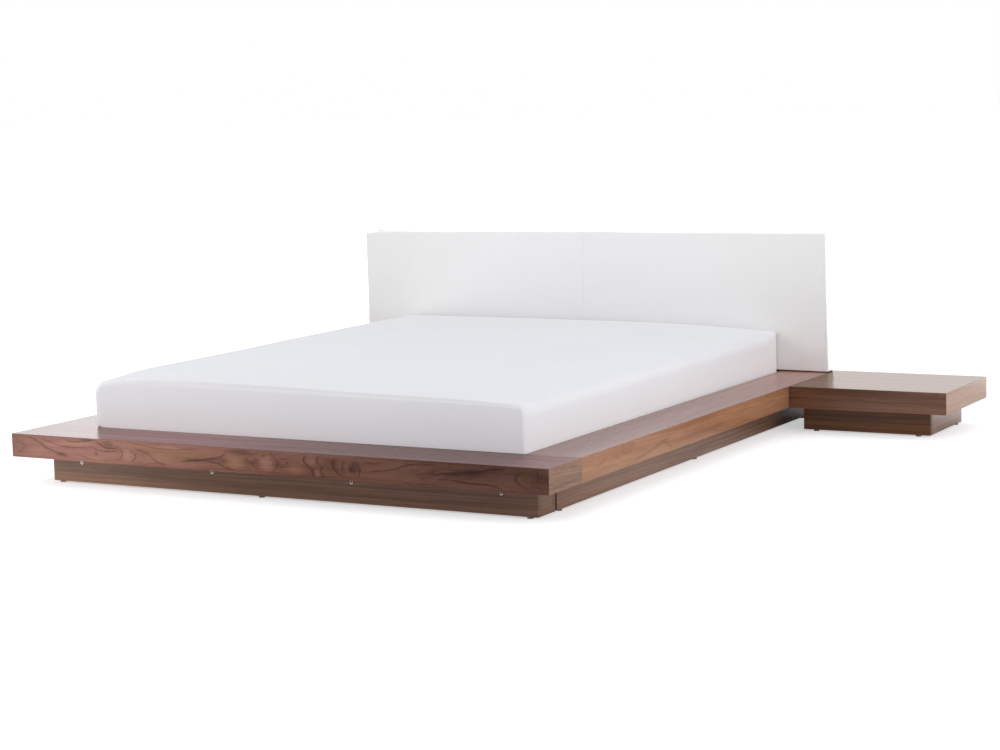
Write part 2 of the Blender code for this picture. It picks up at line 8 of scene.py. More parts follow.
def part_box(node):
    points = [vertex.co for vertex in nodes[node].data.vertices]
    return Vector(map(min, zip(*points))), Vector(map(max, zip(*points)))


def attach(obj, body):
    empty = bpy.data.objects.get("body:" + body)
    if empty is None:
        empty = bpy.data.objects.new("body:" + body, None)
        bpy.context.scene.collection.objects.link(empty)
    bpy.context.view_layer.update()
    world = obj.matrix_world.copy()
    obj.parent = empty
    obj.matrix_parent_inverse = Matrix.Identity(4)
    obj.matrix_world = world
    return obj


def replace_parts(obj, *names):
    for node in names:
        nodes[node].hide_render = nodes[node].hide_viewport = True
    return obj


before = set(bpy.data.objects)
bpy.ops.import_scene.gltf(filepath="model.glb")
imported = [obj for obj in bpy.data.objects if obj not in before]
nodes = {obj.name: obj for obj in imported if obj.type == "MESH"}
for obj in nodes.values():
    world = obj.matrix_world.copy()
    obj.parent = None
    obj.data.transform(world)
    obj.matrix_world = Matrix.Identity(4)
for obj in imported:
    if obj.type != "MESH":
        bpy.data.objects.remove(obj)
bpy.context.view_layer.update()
mm = 0.001


# Node helpers. A value is either a plain number or colour, or the output of another node.
def addNode(tree, kind, inputs, **settings):
    node = tree.nodes.new(kind)
    for setting, value in settings.items():
        setattr(node, setting, value)
    for key, value in inputs.items():
        if isinstance(value, bpy.types.NodeSocket):
            tree.links.new(value, node.inputs[key])
        else:
            node.inputs[key].default_value = value
    return node


def addAfter(inputs, kind, **settings):
    # a node in the same tree as the node outputs among its inputs
    tree = next(value.id_data for value in inputs.values() if isinstance(value, bpy.types.NodeSocket))
    return addNode(tree, kind, inputs, **settings)


def maths(operation, *values):
    return addAfter(dict(enumerate(values)), "ShaderNodeMath", operation=operation).outputs[0]


def times(first, *others):
    for other in others:
        first = maths("MULTIPLY", first, other)
    return first


def plus(first, second):
    return maths("ADD", first, second)


def minus(first, second):
    return maths("SUBTRACT", first, second)


def timesPlus(value, factor, extra):
    return maths("MULTIPLY_ADD", value, factor, extra)


def spread(value, low, high, first=0.0, last=1.0, smooth=False, clamp=True):
    # carries low..high over to first..last
    kind = "SMOOTHSTEP" if smooth else "LINEAR"
    inputs = {0: value, 1: low, 2: high, 3: first, 4: last}
    return addAfter(inputs, "ShaderNodeMapRange", interpolation_type=kind, clamp=clamp).outputs[0]


def mixColours(share, first, second, mode="MIX"):
    inputs = {0: share, 6: first, 7: second}
    return addAfter(inputs, "ShaderNodeMix", data_type="RGBA", blend_type=mode).outputs[2]


def colour(red, green, blue):
    return (red, green, blue, 1.0)


def grey(level):
    return (level, level, level, 1.0)


def joinPlace(x, y, z):
    return addAfter({0: x, 1: y, 2: z}, "ShaderNodeCombineXYZ").outputs[0]


def splitPlace(place):
    return list(addAfter({0: place}, "ShaderNodeSeparateXYZ").outputs)


def stretchPlace(place, scale):
    return addAfter({0: place, 1: scale}, "ShaderNodeVectorMath", operation="MULTIPLY").outputs[0]


def noiseAt(place, scale=1.0, detail=3.0, roughness=0.5):
    inputs = {"Vector": place, "Scale": scale, "Detail": detail, "Roughness": roughness}
    return addAfter(inputs, "ShaderNodeTexNoise").outputs[0]


def cellsAt(place, scale, output="Distance", **settings):
    return addAfter({"Vector": place, "Scale": scale}, "ShaderNodeTexVoronoi", **settings).outputs[output]


def curveOver(share, points):
    # a smooth line through listed points: share along it in, height of it out, both from 0 to 1
    node = addAfter({1: share}, "ShaderNodeFloatCurve")
    line = node.mapping.curves[0]
    while len(line.points) < len(points):
        line.points.new(0.5, 0.5)
    for point, place in zip(line.points, sorted(points)):
        point.location = place
        point.handle_type = "AUTO"
    node.mapping.update()
    return node.outputs[0]


def rampOf(share, stops):
    node = addAfter({0: share}, "ShaderNodeValToRGB")
    ramp = node.color_ramp
    while len(ramp.elements) < len(stops):
        ramp.elements.new(0.5)
    for element, (position, tint) in zip(ramp.elements, stops):
        element.position = position
        element.color = tint
    return node.outputs[0]


def bumpFrom(height, distance, strength=1.0):
    inputs = {"Height": height, "Distance": distance, "Strength": strength}
    return addAfter(inputs, "ShaderNodeBump").outputs[0]


def newMaterial(name, **sockets):
    # gives the material, its shader and the place on the object that is being shaded
    material = bpy.data.materials.new(name)
    material.use_nodes = True
    tree = material.node_tree
    shader = tree.nodes["Principled BSDF"]
    for socket, value in sockets.items():
        shader.inputs[socket.replace("_", " ")].default_value = value
    return material, shader, addNode(tree, "ShaderNodeTexCoord", {}).outputs["Object"]


def setInputs(node, **sockets):
    for socket, value in sockets.items():
        node.id_data.links.new(value, node.inputs[socket.replace("_", " ")])


# Walnut veneer. along and across are the board's axes, origin is where its drawing starts.
veneer = {
    "light": colour(0.33, 0.155, 0.090),
    "middle": colour(0.25, 0.108, 0.062),
    "dark": colour(0.085, 0.034, 0.020),
    "roughness": 0.45,
    "roughnessSwing": 0.06,
    "specular": 0.1,
    "coat": 0.40,
    "coatRoughness": 0.16,
    "ringSpacing": 11 * mm,
    "ringDarkness": 0.45,
    "ringStops": [(0.0, 0), (0.55, 0.12), (0.86, 0.6), (0.95, 1), (1.0, 0.05)],
    "ringReach": (0.35, 0.62),
    "streakStops": {"dark": 0.28, "middle": 0.46, "light": 0.68},
    "streakContrast": 0.55,
    "streaks": 0.06,
    "streakReach": (0.32, 0.68),
    "fibreReach": (0.3, 0.7),
    "fibreShades": (0.86, 1.12),
    "poreReach": (0.60, 0.70),
    "poreShade": 0.72,
    "poreDepth": 0.6,
    "relief": 0.06 * mm,
    "sway": 30 * mm,
    "swirl": 0.0,
    "ripple": 4 * mm,
    "depth": 60 * mm,
    "depthSwing": 50 * mm,
    "heart": 0.0,
    "slope": 0.0,
    "acrossSign": 1.0,
    "length": 1.0,
    "seed": 0.0,
    "patches": [],
    "veins": [],
    "knots": [],
    "toneAndPaintedLight": [],
}

grain = {  # cells in a metre along and across the grain, a shift between the noises, detail, roughness
    "sway": (1.6, 5.0, 0, 2.0, 0.5),
    "ragged": (18.0, 55.0, 0, 3.0, 0.6),
    "frayed": (60.0, 190.0, 21, 2.0, 0.5),
    "heartSwing": (2.3, 0.0, 7, 2.0, 0.5),
    "eddies": (6.0, 26.0, 11, 2.0, 0.5),
    "ringPatches": (6.0, 28.0, 3, 2.0, 0.5),
    "broadStreaks": (1.3, 38.0, 0, 4.0, 0.55),
    "fineStreaks": (1.1, 150.0, 31, 2.0, 0.5),
    "fibres": (7.0, 420.0, 0, 4.0, 0.6),
    "pores": (130.0, 2600.0, 0, 2.0, 0.5),
}

drawing = {  # how a drawn line ends and how sharp its near edge is; lengths in millimetres
    "edgeShare": 0.4,
    "fade": {"along": 36, "across": 10},
    "fadeShares": (0.3, 0.7),
}


def boardPlace(place, look):
    # u runs along the grain, v across it
    inputs = {0: place, 1: look["origin"]}
    fromStart = addAfter(inputs, "ShaderNodeVectorMath", operation="SUBTRACT").outputs[0]
    axes = dict(zip("xyz", splitPlace(fromStart)))
    return axes[look["along"]], times(axes[look["across"]], look["acrossSign"])


def veinShare(u, v, line):
    # a dark growth line gives v over u where it runs along the grain, u over v where it runs across
    run, side = (u, v) if line["run"] == "along" else (v, u)
    points = [(place * mm, height * mm) for place, height in line["points"]]
    start, end = points[0][0], points[-1][0]
    lowest = min(height for place, height in points)
    rise = max(max(height for place, height in points) - lowest, mm)
    shares = [((place - start) / (end - start), (height - lowest) / rise) for place, height in points]
    height = timesPlus(curveOver(spread(run, start, end), shares), rise, lowest)
    offset = minus(height, side) if line["flip"] else minus(side, height)
    width = line["width"] * mm
    sharp = spread(offset, -width * drawing["edgeShare"], 0, 0, 1, True)
    soft = spread(offset, 0, width * line["soft"], 1, 0)
    outside, inside = [share * drawing["fade"][line["run"]] * mm for share in drawing["fadeShares"]]
    entering = spread(run, start - outside, start + inside, 0, 1, True)
    leaving = spread(run, end - inside, end + outside, 1, 0, True)
    return times(sharp, soft, soft, entering, leaving, line["strength"])


def knotDistance(u, v, item):
    centreU, centreV, reachU, reachV = [value * mm for value in item["place"]]
    awayU = spread(u, centreU, centreU + reachU, clamp=False)
    awayV = spread(v, centreV, centreV + reachV, clamp=False)
    return maths("SQRT", plus(times(awayU, awayU), times(awayV, awayV)))


def drawFigure(look, body, u, v, ragged, frayed):
    # lines, patches and knots drawn after the real board, a little frayed
    ripple = look["ripple"]
    lineU = timesPlus(frayed, ripple * 2, timesPlus(ragged, ripple * 3, u))
    lineV = timesPlus(frayed, ripple, timesPlus(ragged, ripple * 1.5, v))
    for item in look["patches"]:
        near = spread(knotDistance(lineU, lineV, item), 0.25, 1.15, item["strength"], 0, True)
        body = mixColours(near, body, look[item["tint"]])
    for line in look["veins"]:
        body = mixColours(veinShare(lineU, lineV, line), body, look[line["tint"]])
    for item in look["knots"]:
        heart = spread(knotDistance(lineU, lineV, item), 0, item["heart"], item["strength"], 0, True)
        body = mixColours(heart, body, look["dark"])
    return body


def walnut(name, **changes):
    look = {**veneer, **changes}
    material, shader, place = newMaterial(name, Coat_Weight=look["coat"],
                                          Coat_Roughness=look["coatRoughness"],
                                          Specular_IOR_Level=look["specular"])
    seed = look["seed"]
    u, v = boardPlace(place, look)
    if look["slope"]:
        v = timesPlus(u, -look["slope"], v)

    def noiseOver(kind, across):
        alongScale, acrossScale, shift, detail, roughness = grain[kind]
        spot = joinPlace(timesPlus(u, alongScale, seed + shift), times(across, acrossScale), seed)
        return noiseAt(spot, detail=detail, roughness=roughness)

    def swingOver(kind):
        return minus(noiseOver(kind, v), 0.5)

    swayed = timesPlus(swingOver("sway"), look["sway"], v)
    ragged = swingOver("ragged")
    frayed = swingOver("frayed")
    grainV = timesPlus(ragged, look["ripple"], swayed)

    # growth rings, cut at a distance from the heart of the log that swings along the board
    depth = timesPlus(swingOver("heartSwing"), 2 * look["depthSwing"], look["depth"])
    away = minus(grainV, look["heart"])
    radius = maths("SQRT", plus(times(away, away), times(depth, depth)))
    if look["swirl"]:
        radius = timesPlus(swingOver("eddies"), look["swirl"], radius)
    for item in look["knots"]:
        bend = item["rings"] * look["ringSpacing"]
        radius = plus(radius, spread(knotDistance(u, v, item), 0, 1, bend, 0, True))
    ring = maths("FRACT", maths("DIVIDE", radius, look["ringSpacing"]))
    ringLine = rampOf(ring, [(stop, grey(level)) for stop, level in look["ringStops"]])
    ringLine = times(ringLine, spread(noiseOver("ringPatches", grainV), *look["ringReach"]))

    # streaks of darker heartwood, fibres and pores
    fibres = noiseOver("fibres", grainV)
    pores = spread(noiseOver("pores", grainV), *look["poreReach"])
    body = rampOf(noiseOver("broadStreaks", swayed),
                  [(stop, look[shade]) for shade, stop in look["streakStops"].items()])
    body = mixColours(look["streakContrast"], look["middle"], body)
    body = mixColours(times(ringLine, look["ringDarkness"]), body, look["dark"])
    if look["veins"] or look["knots"]:
        body = drawFigure(look, body, u, v, ragged, frayed)

    streaky = spread(noiseOver("fineStreaks", grainV), *look["streakReach"],
                     1 - look["streaks"], 1 + look["streaks"])
    shade = times(spread(fibres, *look["fibreReach"], *look["fibreShades"]),
                  spread(pores, 0, 1, 1.0, look["poreShade"]), streaky)
    # the tone curve along the board is partly the veneer's own tone and partly painted light and shade:
    # lighter where the light falls, darker where the bed or a table shades the board
    if look["toneAndPaintedLight"]:
        shade = times(shade, times(curveOver(spread(u, 0, look["length"]), look["toneAndPaintedLight"]), 2.0))
    body = mixColours(1.0, body, joinPlace(shade, shade, shade), "MULTIPLY")
    swing = look["roughnessSwing"]
    relief = timesPlus(pores, -look["poreDepth"], fibres)
    setInputs(shader, Base_Color=body, Normal=bumpFrom(relief, look["relief"]),
              Roughness=spread(fibres, 0.2, 0.8, look["roughness"] + swing, look["roughness"] - swing))
    return material


def vein(run, points, width=3, soft=2.0, strength=0.75, flip=False, tint="dark"):
    return {"run": run, "points": points, "width": width, "soft": soft, "strength": strength,
            "flip": flip, "tint": tint}


def knot(place, rings, heart=0.3, strength=0.7):
    return {"place": place, "rings": rings, "heart": heart, "strength": strength}


def patch(tint, place, strength):
    return {"tint": tint, "place": place, "strength": strength}


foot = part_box("front_fascia")[0]
deckHalf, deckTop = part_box("front_top_board")[1].xz

# The foot board's figure, in millimetres from its left end and below the deck's top
footFigure = {
    "light": colour(0.42, 0.200, 0.140),
    "middle": colour(0.285, 0.123, 0.083),
    "dark": colour(0.085, 0.028, 0.019),
    "gold": colour(0.300, 0.150, 0.066),
    "rose": colour(0.345, 0.150, 0.122),
    "specular": 0.0,
    "coat": 0.25,
    "ringSpacing": 8.5 * mm,
    "ringDarkness": 0.60,
    "streaks": 0.10,
    "swirl": 60 * mm,
    "patches": [
        # the rose patch over the left end is partly the veneer's own tint and partly painted light
        patch("rose", (200, 38, 300, 60), 0.7),
        patch("gold", (660, 32, 170, 26), 0.5),
        patch("gold", (884, 44, 46, 26), 0.6),
        patch("gold", (1100, 45, 56, 24), 0.5),
        patch("gold", (1228, 45, 30, 30), 0.4),
        patch("gold", (1905, 30, 40, 26), 0.5),
        patch("dark", (1700, 34, 76, 17), 0.4),
        patch("light", (270, 18, 90, 11), 0.8),
        patch("light", (175, 27, 55, 10), 0.6),
        patch("light", (100, 50, 42, 17), 0.6),
        patch("light", (470, 46, 26, 24), 0.8),
        patch("light", (330, 62, 90, 8), 0.35),
        patch("light", (618, 13, 100, 6), 0.6),
        patch("light", (600, 45, 60, 22), 0.3),
        patch("light", (890, 46, 42, 22), 0.55),
        patch("light", (1003, 40, 34, 28), 0.9),
        patch("light", (1112, 54, 42, 18), 0.55),
        patch("light", (1168, 25, 17, 22), 0.6),
        patch("light", (1188, 60, 15, 15), 0.6),
        patch("light", (1500, 22, 110, 9), 0.5),
        patch("light", (1450, 52, 110, 16), 0.35),
        patch("light", (1840, 40, 50, 20), 0.25),
        patch("dark", (396, 15, 28, 14), 0.45),
        patch("dark", (303, 5, 34, 7), 0.5),
        patch("dark", (204, 58, 32, 11), 0.45),
        patch("dark", (735, 45, 50, 6), 0.6),
        patch("dark", (905, 11, 60, 13), 0.55),
        patch("dark", (1240, 30, 40, 30), 0.3),
        patch("dark", (1322, 34, 26, 26), 0.5),
        patch("light", (1150, 20, 60, 16), 0.3),
        patch("dark", (1950, 40, 60, 40), 0.3),
        patch("dark", (1730, 25, 50, 11), 0.6),
        patch("dark", (1665, 34, 40, 9), 0.4),
        patch("dark", (1900, 15, 60, 13), 0.3),
    ],
    "veins": [
        vein("across", [(6, 9), (20, 24), (37, 49), (46, 46), (58, 31), (62, 6)], width=4, soft=1.8),
        vein("along", [(74, 6), (105, 17), (127, 28), (148, 40), (179, 49), (216, 58), (240, 62)],
             width=4, soft=2.4, strength=0.88),
        vein("along", [(117, 9), (160, 19), (204, 29), (247, 32), (290, 28), (321, 26), (346, 33),
                       (371, 38), (420, 34), (445, 28)], width=3, soft=1.8, strength=0.88),
        vein("across", [(28, 438), (36, 448), (48, 449), (58, 440), (68, 400), (70, 380)], width=5,
             soft=1.8, strength=0.88),
        vein("across", [(24, 460), (34, 492), (46, 506), (58, 500), (70, 462)], width=4, flip=True,
             strength=0.88),
        vein("along", [(500, 24), (536, 29), (555, 36), (572, 50), (590, 60), (625, 67)], width=4,
             soft=2.4, strength=0.8),
        vein("along", [(343, 5), (371, 22), (395, 29), (426, 26), (445, 9)], width=6, flip=True,
             soft=1.8, strength=0.92),
        vein("along", [(266, 55), (300, 60), (325, 67)], width=3),
        vein("along", [(216, 5), (260, 15), (309, 10), (334, 4)], width=5, flip=True, strength=0.8),
        vein("along", [(480, 6), (540, 12), (618, 19), (690, 16), (750, 7)], width=3, flip=True,
             soft=1.8, strength=0.55),
        vein("along", [(676, 53), (742, 44), (816, 34), (838, 26), (859, 6)], width=5, soft=2.4,
             strength=0.92),
        vein("along", [(772, 45), (822, 51), (850, 61), (885, 69)], width=4, strength=0.88),
        vein("across", [(6, 975), (25, 935), (32, 927), (38, 945), (50, 952), (63, 983)], width=5,
             soft=1.8, strength=0.88),
        vein("across", [(4, 1013), (12, 1022), (24, 1033), (34, 1045), (49, 1041), (63, 1026), (69, 1001)],
             width=4, soft=1.8, strength=0.92),
        vein("along", [(1036, 24), (1075, 24), (1098, 30)], width=2, strength=0.88),
        vein("along", [(1044, 49), (1070, 48), (1090, 46), (1098, 38)], width=2, strength=0.88),
        vein("across", [(8, 1168), (24, 1138), (38, 1152), (50, 1168), (60, 1168), (74, 1188)], width=6,
             soft=2.4, strength=0.88),
        vein("across", [(6, 1200), (26, 1186), (42, 1204), (54, 1199), (66, 1208), (74, 1212)], width=5,
             soft=2.4, strength=0.88),
        vein("across", [(10, 1256), (30, 1242), (48, 1252), (66, 1280)], width=8, soft=3, strength=0.8),
        vein("across", [(14, 1290), (38, 1278), (58, 1288)], width=8, soft=1.8, strength=0.7),
        vein("across", [(24, 1332), (44, 1340), (66, 1328)], width=5, flip=True, soft=1.3, strength=0.88),
        vein("along", [(1353, 9), (1384, 18), (1421, 12)], width=4, soft=1.8),
        vein("along", [(1362, 46), (1452, 32), (1515, 14), (1610, 7)], width=4, soft=2.4, strength=0.7),
        vein("along", [(1580, 42), (1640, 33), (1717, 25), (1761, 18), (1841, 6)], width=7, soft=1.8,
             strength=0.92),
        vein("along", [(1650, 40), (1682, 55), (1730, 57), (1780, 59), (1825, 69)], width=5, soft=1.8,
             strength=0.92),
        vein("across", [(16, 1890), (33, 1867), (50, 1878), (62, 1905), (70, 1955)], width=7, soft=1.8,
             strength=0.92),
        vein("across", [(6, 1934), (28, 1940), (42, 1932)], width=4, strength=0.8),
        vein("along", [(1200, 71), (1400, 66), (1620, 70)], width=3, soft=1.8, strength=0.5),
    ],
    "knots": [
        knot((346, 48, 15, 9), 0.5, heart=0.7, strength=0.8),
        knot((995, 18, 16, 12), 0.8, heart=0.6),
        knot((1080, 36, 13, 9), 1.2, heart=0.5, strength=0.88),
        knot((1310, 42, 34, 32), 3.2, heart=0.45, strength=0.88),
        knot((1654, 5, 7, 6), 0.5, heart=0.8),
    ],
    # partly the veneer's own tone and partly painted light: the foot board is lightest near its left end
    # and darker towards the right, as the light falls off
    "toneAndPaintedLight": [(0.0, 0.40), (0.1, 0.505), (0.22, 0.495), (0.38, 0.455), (0.57, 0.31), (0.75, 0.237),
             (0.92, 0.182), (1.0, 0.205)],
}

golden = {
    "coat": 0.38,
    "specular": 0.0,
    "light": colour(0.46, 0.243, 0.138),
    "middle": colour(0.362, 0.172, 0.090),
    "dark": colour(0.19, 0.075, 0.035),
    "ringDarkness": 0.35,
}

deckLook = {
    "light": colour(0.22, 0.115, 0.065),
    "middle": colour(0.165, 0.080, 0.040),
    "dark": colour(0.075, 0.030, 0.018),
    "depth": 300 * mm,
    "heart": -250 * mm,
    "sway": 20 * mm,
    "ringDarkness": 0.28,
    "specular": 0.0,
    "coat": 0.44,
    "coatRoughness": 0.23,
}

sideDeckLook = {
    **deckLook,
    "light": colour(0.295, 0.150, 0.118),
    "middle": colour(0.225, 0.115, 0.090),
    "dark": colour(0.118, 0.053, 0.039),
    "coat": 0.80,
    # painted light and reflection: the right deck grows lighter towards the head end
    "toneAndPaintedLight": [(0.0, 0.53), (0.4, 0.54), (0.7, 0.61), (1.0, 0.88)],
    "length": 2.2,
}

# the left deck is the right deck's walnut painted much darker all over: a shaded copy of the same boards
leftDeckLook = {**sideDeckLook, "coat": 0.57, "toneAndPaintedLight": [(0.0, 0.26), (1.0, 0.26)]}

footDeckLook = {
    **deckLook,
    # the lilac cast of these shades is partly the mattress's front painted in as a reflection
    "light": colour(0.228, 0.114, 0.106),
    "middle": colour(0.170, 0.079, 0.074),
    "dark": colour(0.080, 0.033, 0.032),
    "coat": 0.53,
    # painted light and reflection: lighter in front of the mattress's left part, darker to the right,
    # lighter again past the mattress's right end
    "toneAndPaintedLight": [(0.0, 0.34), (0.05, 0.50), (0.1, 0.58), (0.28, 0.74), (0.55, 0.48), (0.8, 0.38), (0.9, 0.40),
             (0.95, 0.60), (1.0, 0.62)],
}

plinthLook = {
    "light": colour(0.268, 0.144, 0.090),
    "middle": colour(0.204, 0.107, 0.066),
    "dark": colour(0.080, 0.037, 0.024),
    "depth": 300 * mm,
    "heart": -250 * mm,
    "sway": 20 * mm,
    "ringDarkness": 0.25,
    "ringSpacing": 6 * mm,
    "streakContrast": 0.7,
    "streaks": 0.22,
    "roughness": 0.5,
    "coat": 0.28,
    "coatRoughness": 0.25,
}

# painted light: the plinths across the bed are lighter at the left end and darker to the right
plinthAcrossPaintedLight = [(0.0, 0.62), (0.2, 0.60), (0.55, 0.45), (1.0, 0.42)]
# painted shadow: the lengthwise plinths darken towards the head end, where the tables shade them
plinthLengthPaintedShadow = [(0.0, 0.50), (0.6, 0.50), (0.85, 0.42), (1.0, 0.36)]

# painted shade: a darker copy of the plinth walnut for the table plinths' fronts, which stand back under
# the table tops
paintedShadePlinthLook = {
    **plinthLook,
    "light": colour(0.165, 0.073, 0.031),
    "middle": colour(0.115, 0.048, 0.019),
    "dark": colour(0.045, 0.017, 0.009),
}

tableFrontLook = {
    "light": colour(0.20, 0.088, 0.050),
    "middle": colour(0.130, 0.052, 0.026),
    "dark": colour(0.050, 0.018, 0.009),
    "ringDarkness": 0.55,
    "ringSpacing": 8 * mm,
    "streakContrast": 0.85,
    "streaks": 0.16,
    "patches": [patch("dark", (180, 6, 330, 16), 0.5), patch("light", (430, 66, 220, 14), 0.5)],
    "veins": [
        vein("along", [(11, 50), (91, 40), (170, 38), (256, 44)], tint="light", width=4, strength=0.7),
        vein("along", [(272, 30), (330, 34), (410, 42), (490, 52), (572, 60)], tint="light", width=4,
             strength=0.8),
        vein("along", [(300, 46), (380, 52), (450, 60), (500, 70)], tint="light", width=3, strength=0.5),
    ],
    "knots": [knot((455, 58, 22, 12), 1.5, heart=0.3, strength=0.5)],
    # painted shade: the table front is darker towards its middle than at its ends
    "toneAndPaintedLight": [(0.0, 0.45), (0.5, 0.35), (1.0, 0.47)],
    "length": 575 * mm,
}

tableSideLook = {**golden, "coat": 0.68, "toneAndPaintedLight": [(0.0, 0.44), (1.0, 0.44)]}

sideLook = {
    **golden,
    "slope": 0.03,
    "length": 2.2,
    # painted shadow: the side boards darken towards the head end, where the table shades them
    "toneAndPaintedLight": [(0.0, 0.50), (0.5, 0.48), (0.75, 0.45), (0.9, 0.33), (1.0, 0.28)],
    "veins": [
        vein("along", [(560, 44), (670, 31), (740, 17), (812, 1)], width=4, soft=4, strength=0.7),
        vein("along", [(765, 6), (800, 20), (845, 42)], width=4, soft=3, strength=0.7),
        vein("along", [(600, 60), (760, 52), (900, 60)], width=3, soft=4, strength=0.5),
        vein("along", [(1150, 14), (1300, 30), (1420, 22), (1560, 36)], width=4, soft=4, strength=0.5),
    ],
}

endLook = {
    "light": colour(0.34, 0.186, 0.110),
    "middle": colour(0.222, 0.116, 0.068),
    "coat": 0.3,
    "slope": 0.10,
    "veins": [
        vein("along", [(0, 24), (90, 21), (210, 18)], tint="light", width=4, strength=0.8),
        vein("along", [(0, 58), (80, 50), (210, 30)], width=4, soft=4, strength=0.6),
    ],
}


def makeWoods():
    # every look's drawing starts at the left or right end of the bed's foot, or at the table's corner
    woods = {}
    edge = {"across": "z", "acrossSign": -1.0}
    start = (-deckHalf, foot.y, deckTop)
    acrossBed = {"along": "x", "origin": start, "length": 2 * deckHalf}
    alongBed = {"along": "y", "origin": start, **edge}
    flat = {"along": "x", "across": "y", "origin": start}

    def add(name, materialName, seed, *looks):
        merged = {key: value for look in looks for key, value in look.items()}
        woods[name] = walnut(materialName, **{**merged, "seed": seed})

    add("footBoard", "footBoardWalnut", 3.1, footFigure, edge, acrossBed)
    add("footDeck", "footDeckWalnut", 8.4, footDeckLook, flat, acrossBed)
    add("headDeck", "headDeckWalnut", 12.3, deckLook, flat)
    add("plinthAlongX", "plinthWalnutAcross", 1.7, plinthLook, {"toneAndPaintedLight": plinthAcrossPaintedLight}, edge, acrossBed)
    add("plinthAlongY", "plinthWalnutLengthwise", 2.9, plinthLook,
        {"toneAndPaintedLight": plinthLengthPaintedShadow, "length": 2.2}, alongBed)
    add("tablePlinthX", "tablePlinthWalnutAcross", 4.4, paintedShadePlinthLook, alongBed, {"along": "x"})
    add("tablePlinthY", "tablePlinthWalnutLengthwise", 6.8, plinthLook, {"coat": 0.85}, alongBed)
    for word, side, shift in (("left", -1, 11.0), ("right", 1, 5.0)):
        origin = {"origin": (side * deckHalf, foot.y, deckTop)}
        table = {"along": "x", "origin": (*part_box(word + "_table_top")[0].xy, deckTop)}
        add(word + "Deck", word + "DeckWalnut", shift, leftDeckLook if side < 0 else sideDeckLook,
            {"along": "y", "across": "x"}, origin)
        add(word + "Side", word + "SideWalnut", shift + 2.2, sideLook, alongBed, origin)
        add(word + "End", word + "EndWalnut", shift + 4.6, endLook, alongBed, origin)
        add(word + "TableTop", word + "TableTopWalnut", shift + 6.1, deckLook, flat, table)
        add(word + "TableFront", word + "TableFrontWalnut", shift + 7.7, tableFrontLook, edge, table)
        add(word + "TableSide", word + "TableSideWalnut", shift + 9.9, tableSideLook, alongBed, table,
            {"along": "y"})
    print("walnut veneers made:", len(woods))
    return woods


woods = makeWoods()


# Mattress cover, upholstery and the smaller finishes. A scale counts cells in a metre.
coverLook = {
    "pales": (colour(0.825, 0.825, 0.84), colour(0.87, 0.865, 0.875)),
    "slubs": colour(0.74, 0.74, 0.78),
    "hollows": colour(0.60, 0.60, 0.64),
    "threadPitch": 0.9 * mm,
    "slubScale": (60, 220, 220),
    "cloudScale": 3.0,
    "relief": 0.12 * mm,
}


def coverCloth():
    look = coverLook
    material, shader, place = newMaterial("mattressCoverCloth", Roughness=0.9, Sheen_Weight=0.2,
                                          Sheen_Roughness=0.5, Specular_IOR_Level=0.2)
    x, y, z = splitPlace(place)
    turn = 2 * math.pi / look["threadPitch"]
    weave = times(maths("SINE", times(plus(x, z), turn)), maths("SINE", times(plus(y, z), turn)))
    slub = noiseAt(stretchPlace(place, look["slubScale"]), detail=2.0)
    pale = mixColours(noiseAt(place, look["cloudScale"], 2.0), *look["pales"])
    pale = mixColours(spread(slub, 0.35, 0.7, 0, 0.10), pale, look["slubs"])
    pale = mixColours(spread(weave, -1, 1, 0.05, 0), pale, look["hollows"])
    height = timesPlus(slub, 0.8, times(weave, 0.5))
    setInputs(shader, Base_Color=pale, Normal=bumpFrom(height, look["relief"], 0.8))
    return material


leatherLook = {
    "pales": (colour(0.765, 0.761, 0.754), colour(0.795, 0.791, 0.784)),
    "creases": colour(0.62, 0.61, 0.60),
    "roughness": (0.42, 0.54),
    "coat": 0.8,
    "coatRoughness": 0.28,
    "pebbleScale": 620.0,
    "fineScale": 240.0,
    "cloudScale": 9.0,
    "relief": 0.10 * mm,
}


def whiteLeather():
    look = leatherLook
    material, shader, place = newMaterial("whiteLeather", Coat_Weight=look["coat"],
                                          Coat_Roughness=look["coatRoughness"], Specular_IOR_Level=0.1)
    seams = cellsAt(place, look["pebbleScale"], feature="DISTANCE_TO_EDGE")
    pebble = spread(seams, 0.0, 0.22, 0, 1, True)
    fine = noiseAt(place, look["fineScale"])
    pale = mixColours(noiseAt(place, look["cloudScale"], 4.0, 0.6), *look["pales"])
    pale = mixColours(spread(pebble, 0, 1, 0.10, 0), pale, look["creases"])
    setInputs(shader, Base_Color=pale, Roughness=spread(fine, 0.3, 0.7, *look["roughness"]),
              Normal=bumpFrom(timesPlus(fine, 0.35, pebble), look["relief"], 0.6))
    return material


liningLook = {
    "darks": (colour(0.012, 0.012, 0.013), colour(0.040, 0.040, 0.043)),
    "feltScale": (900, 900, 260),
    "dotScale": 420.0,
    "relief": 0.12 * mm,
}


def liningCloth():
    look = liningLook
    material, shader, place = newMaterial("liningCloth", Roughness=0.95, Specular_IOR_Level=0.2)
    felt = noiseAt(stretchPlace(place, look["feltScale"]), roughness=0.7)
    height = plus(felt, spread(cellsAt(place, look["dotScale"]), 0.1, 0.4))
    setInputs(shader, Base_Color=mixColours(felt, *look["darks"]), Normal=bumpFrom(height, look["relief"]))
    return material


pineLook = {
    "light": colour(0.68, 0.47, 0.26),
    "middle": colour(0.60, 0.38, 0.19),
    "dark": colour(0.42, 0.23, 0.10),
    "fibres": colour(0.74, 0.55, 0.33),
    "ringScale": 150.0,
    "swayScale": (2.0, 9.0, 9.0),
    "fibreScale": (14, 900, 900),
    "sway": 0.05,
    "relief": 0.10 * mm,
}


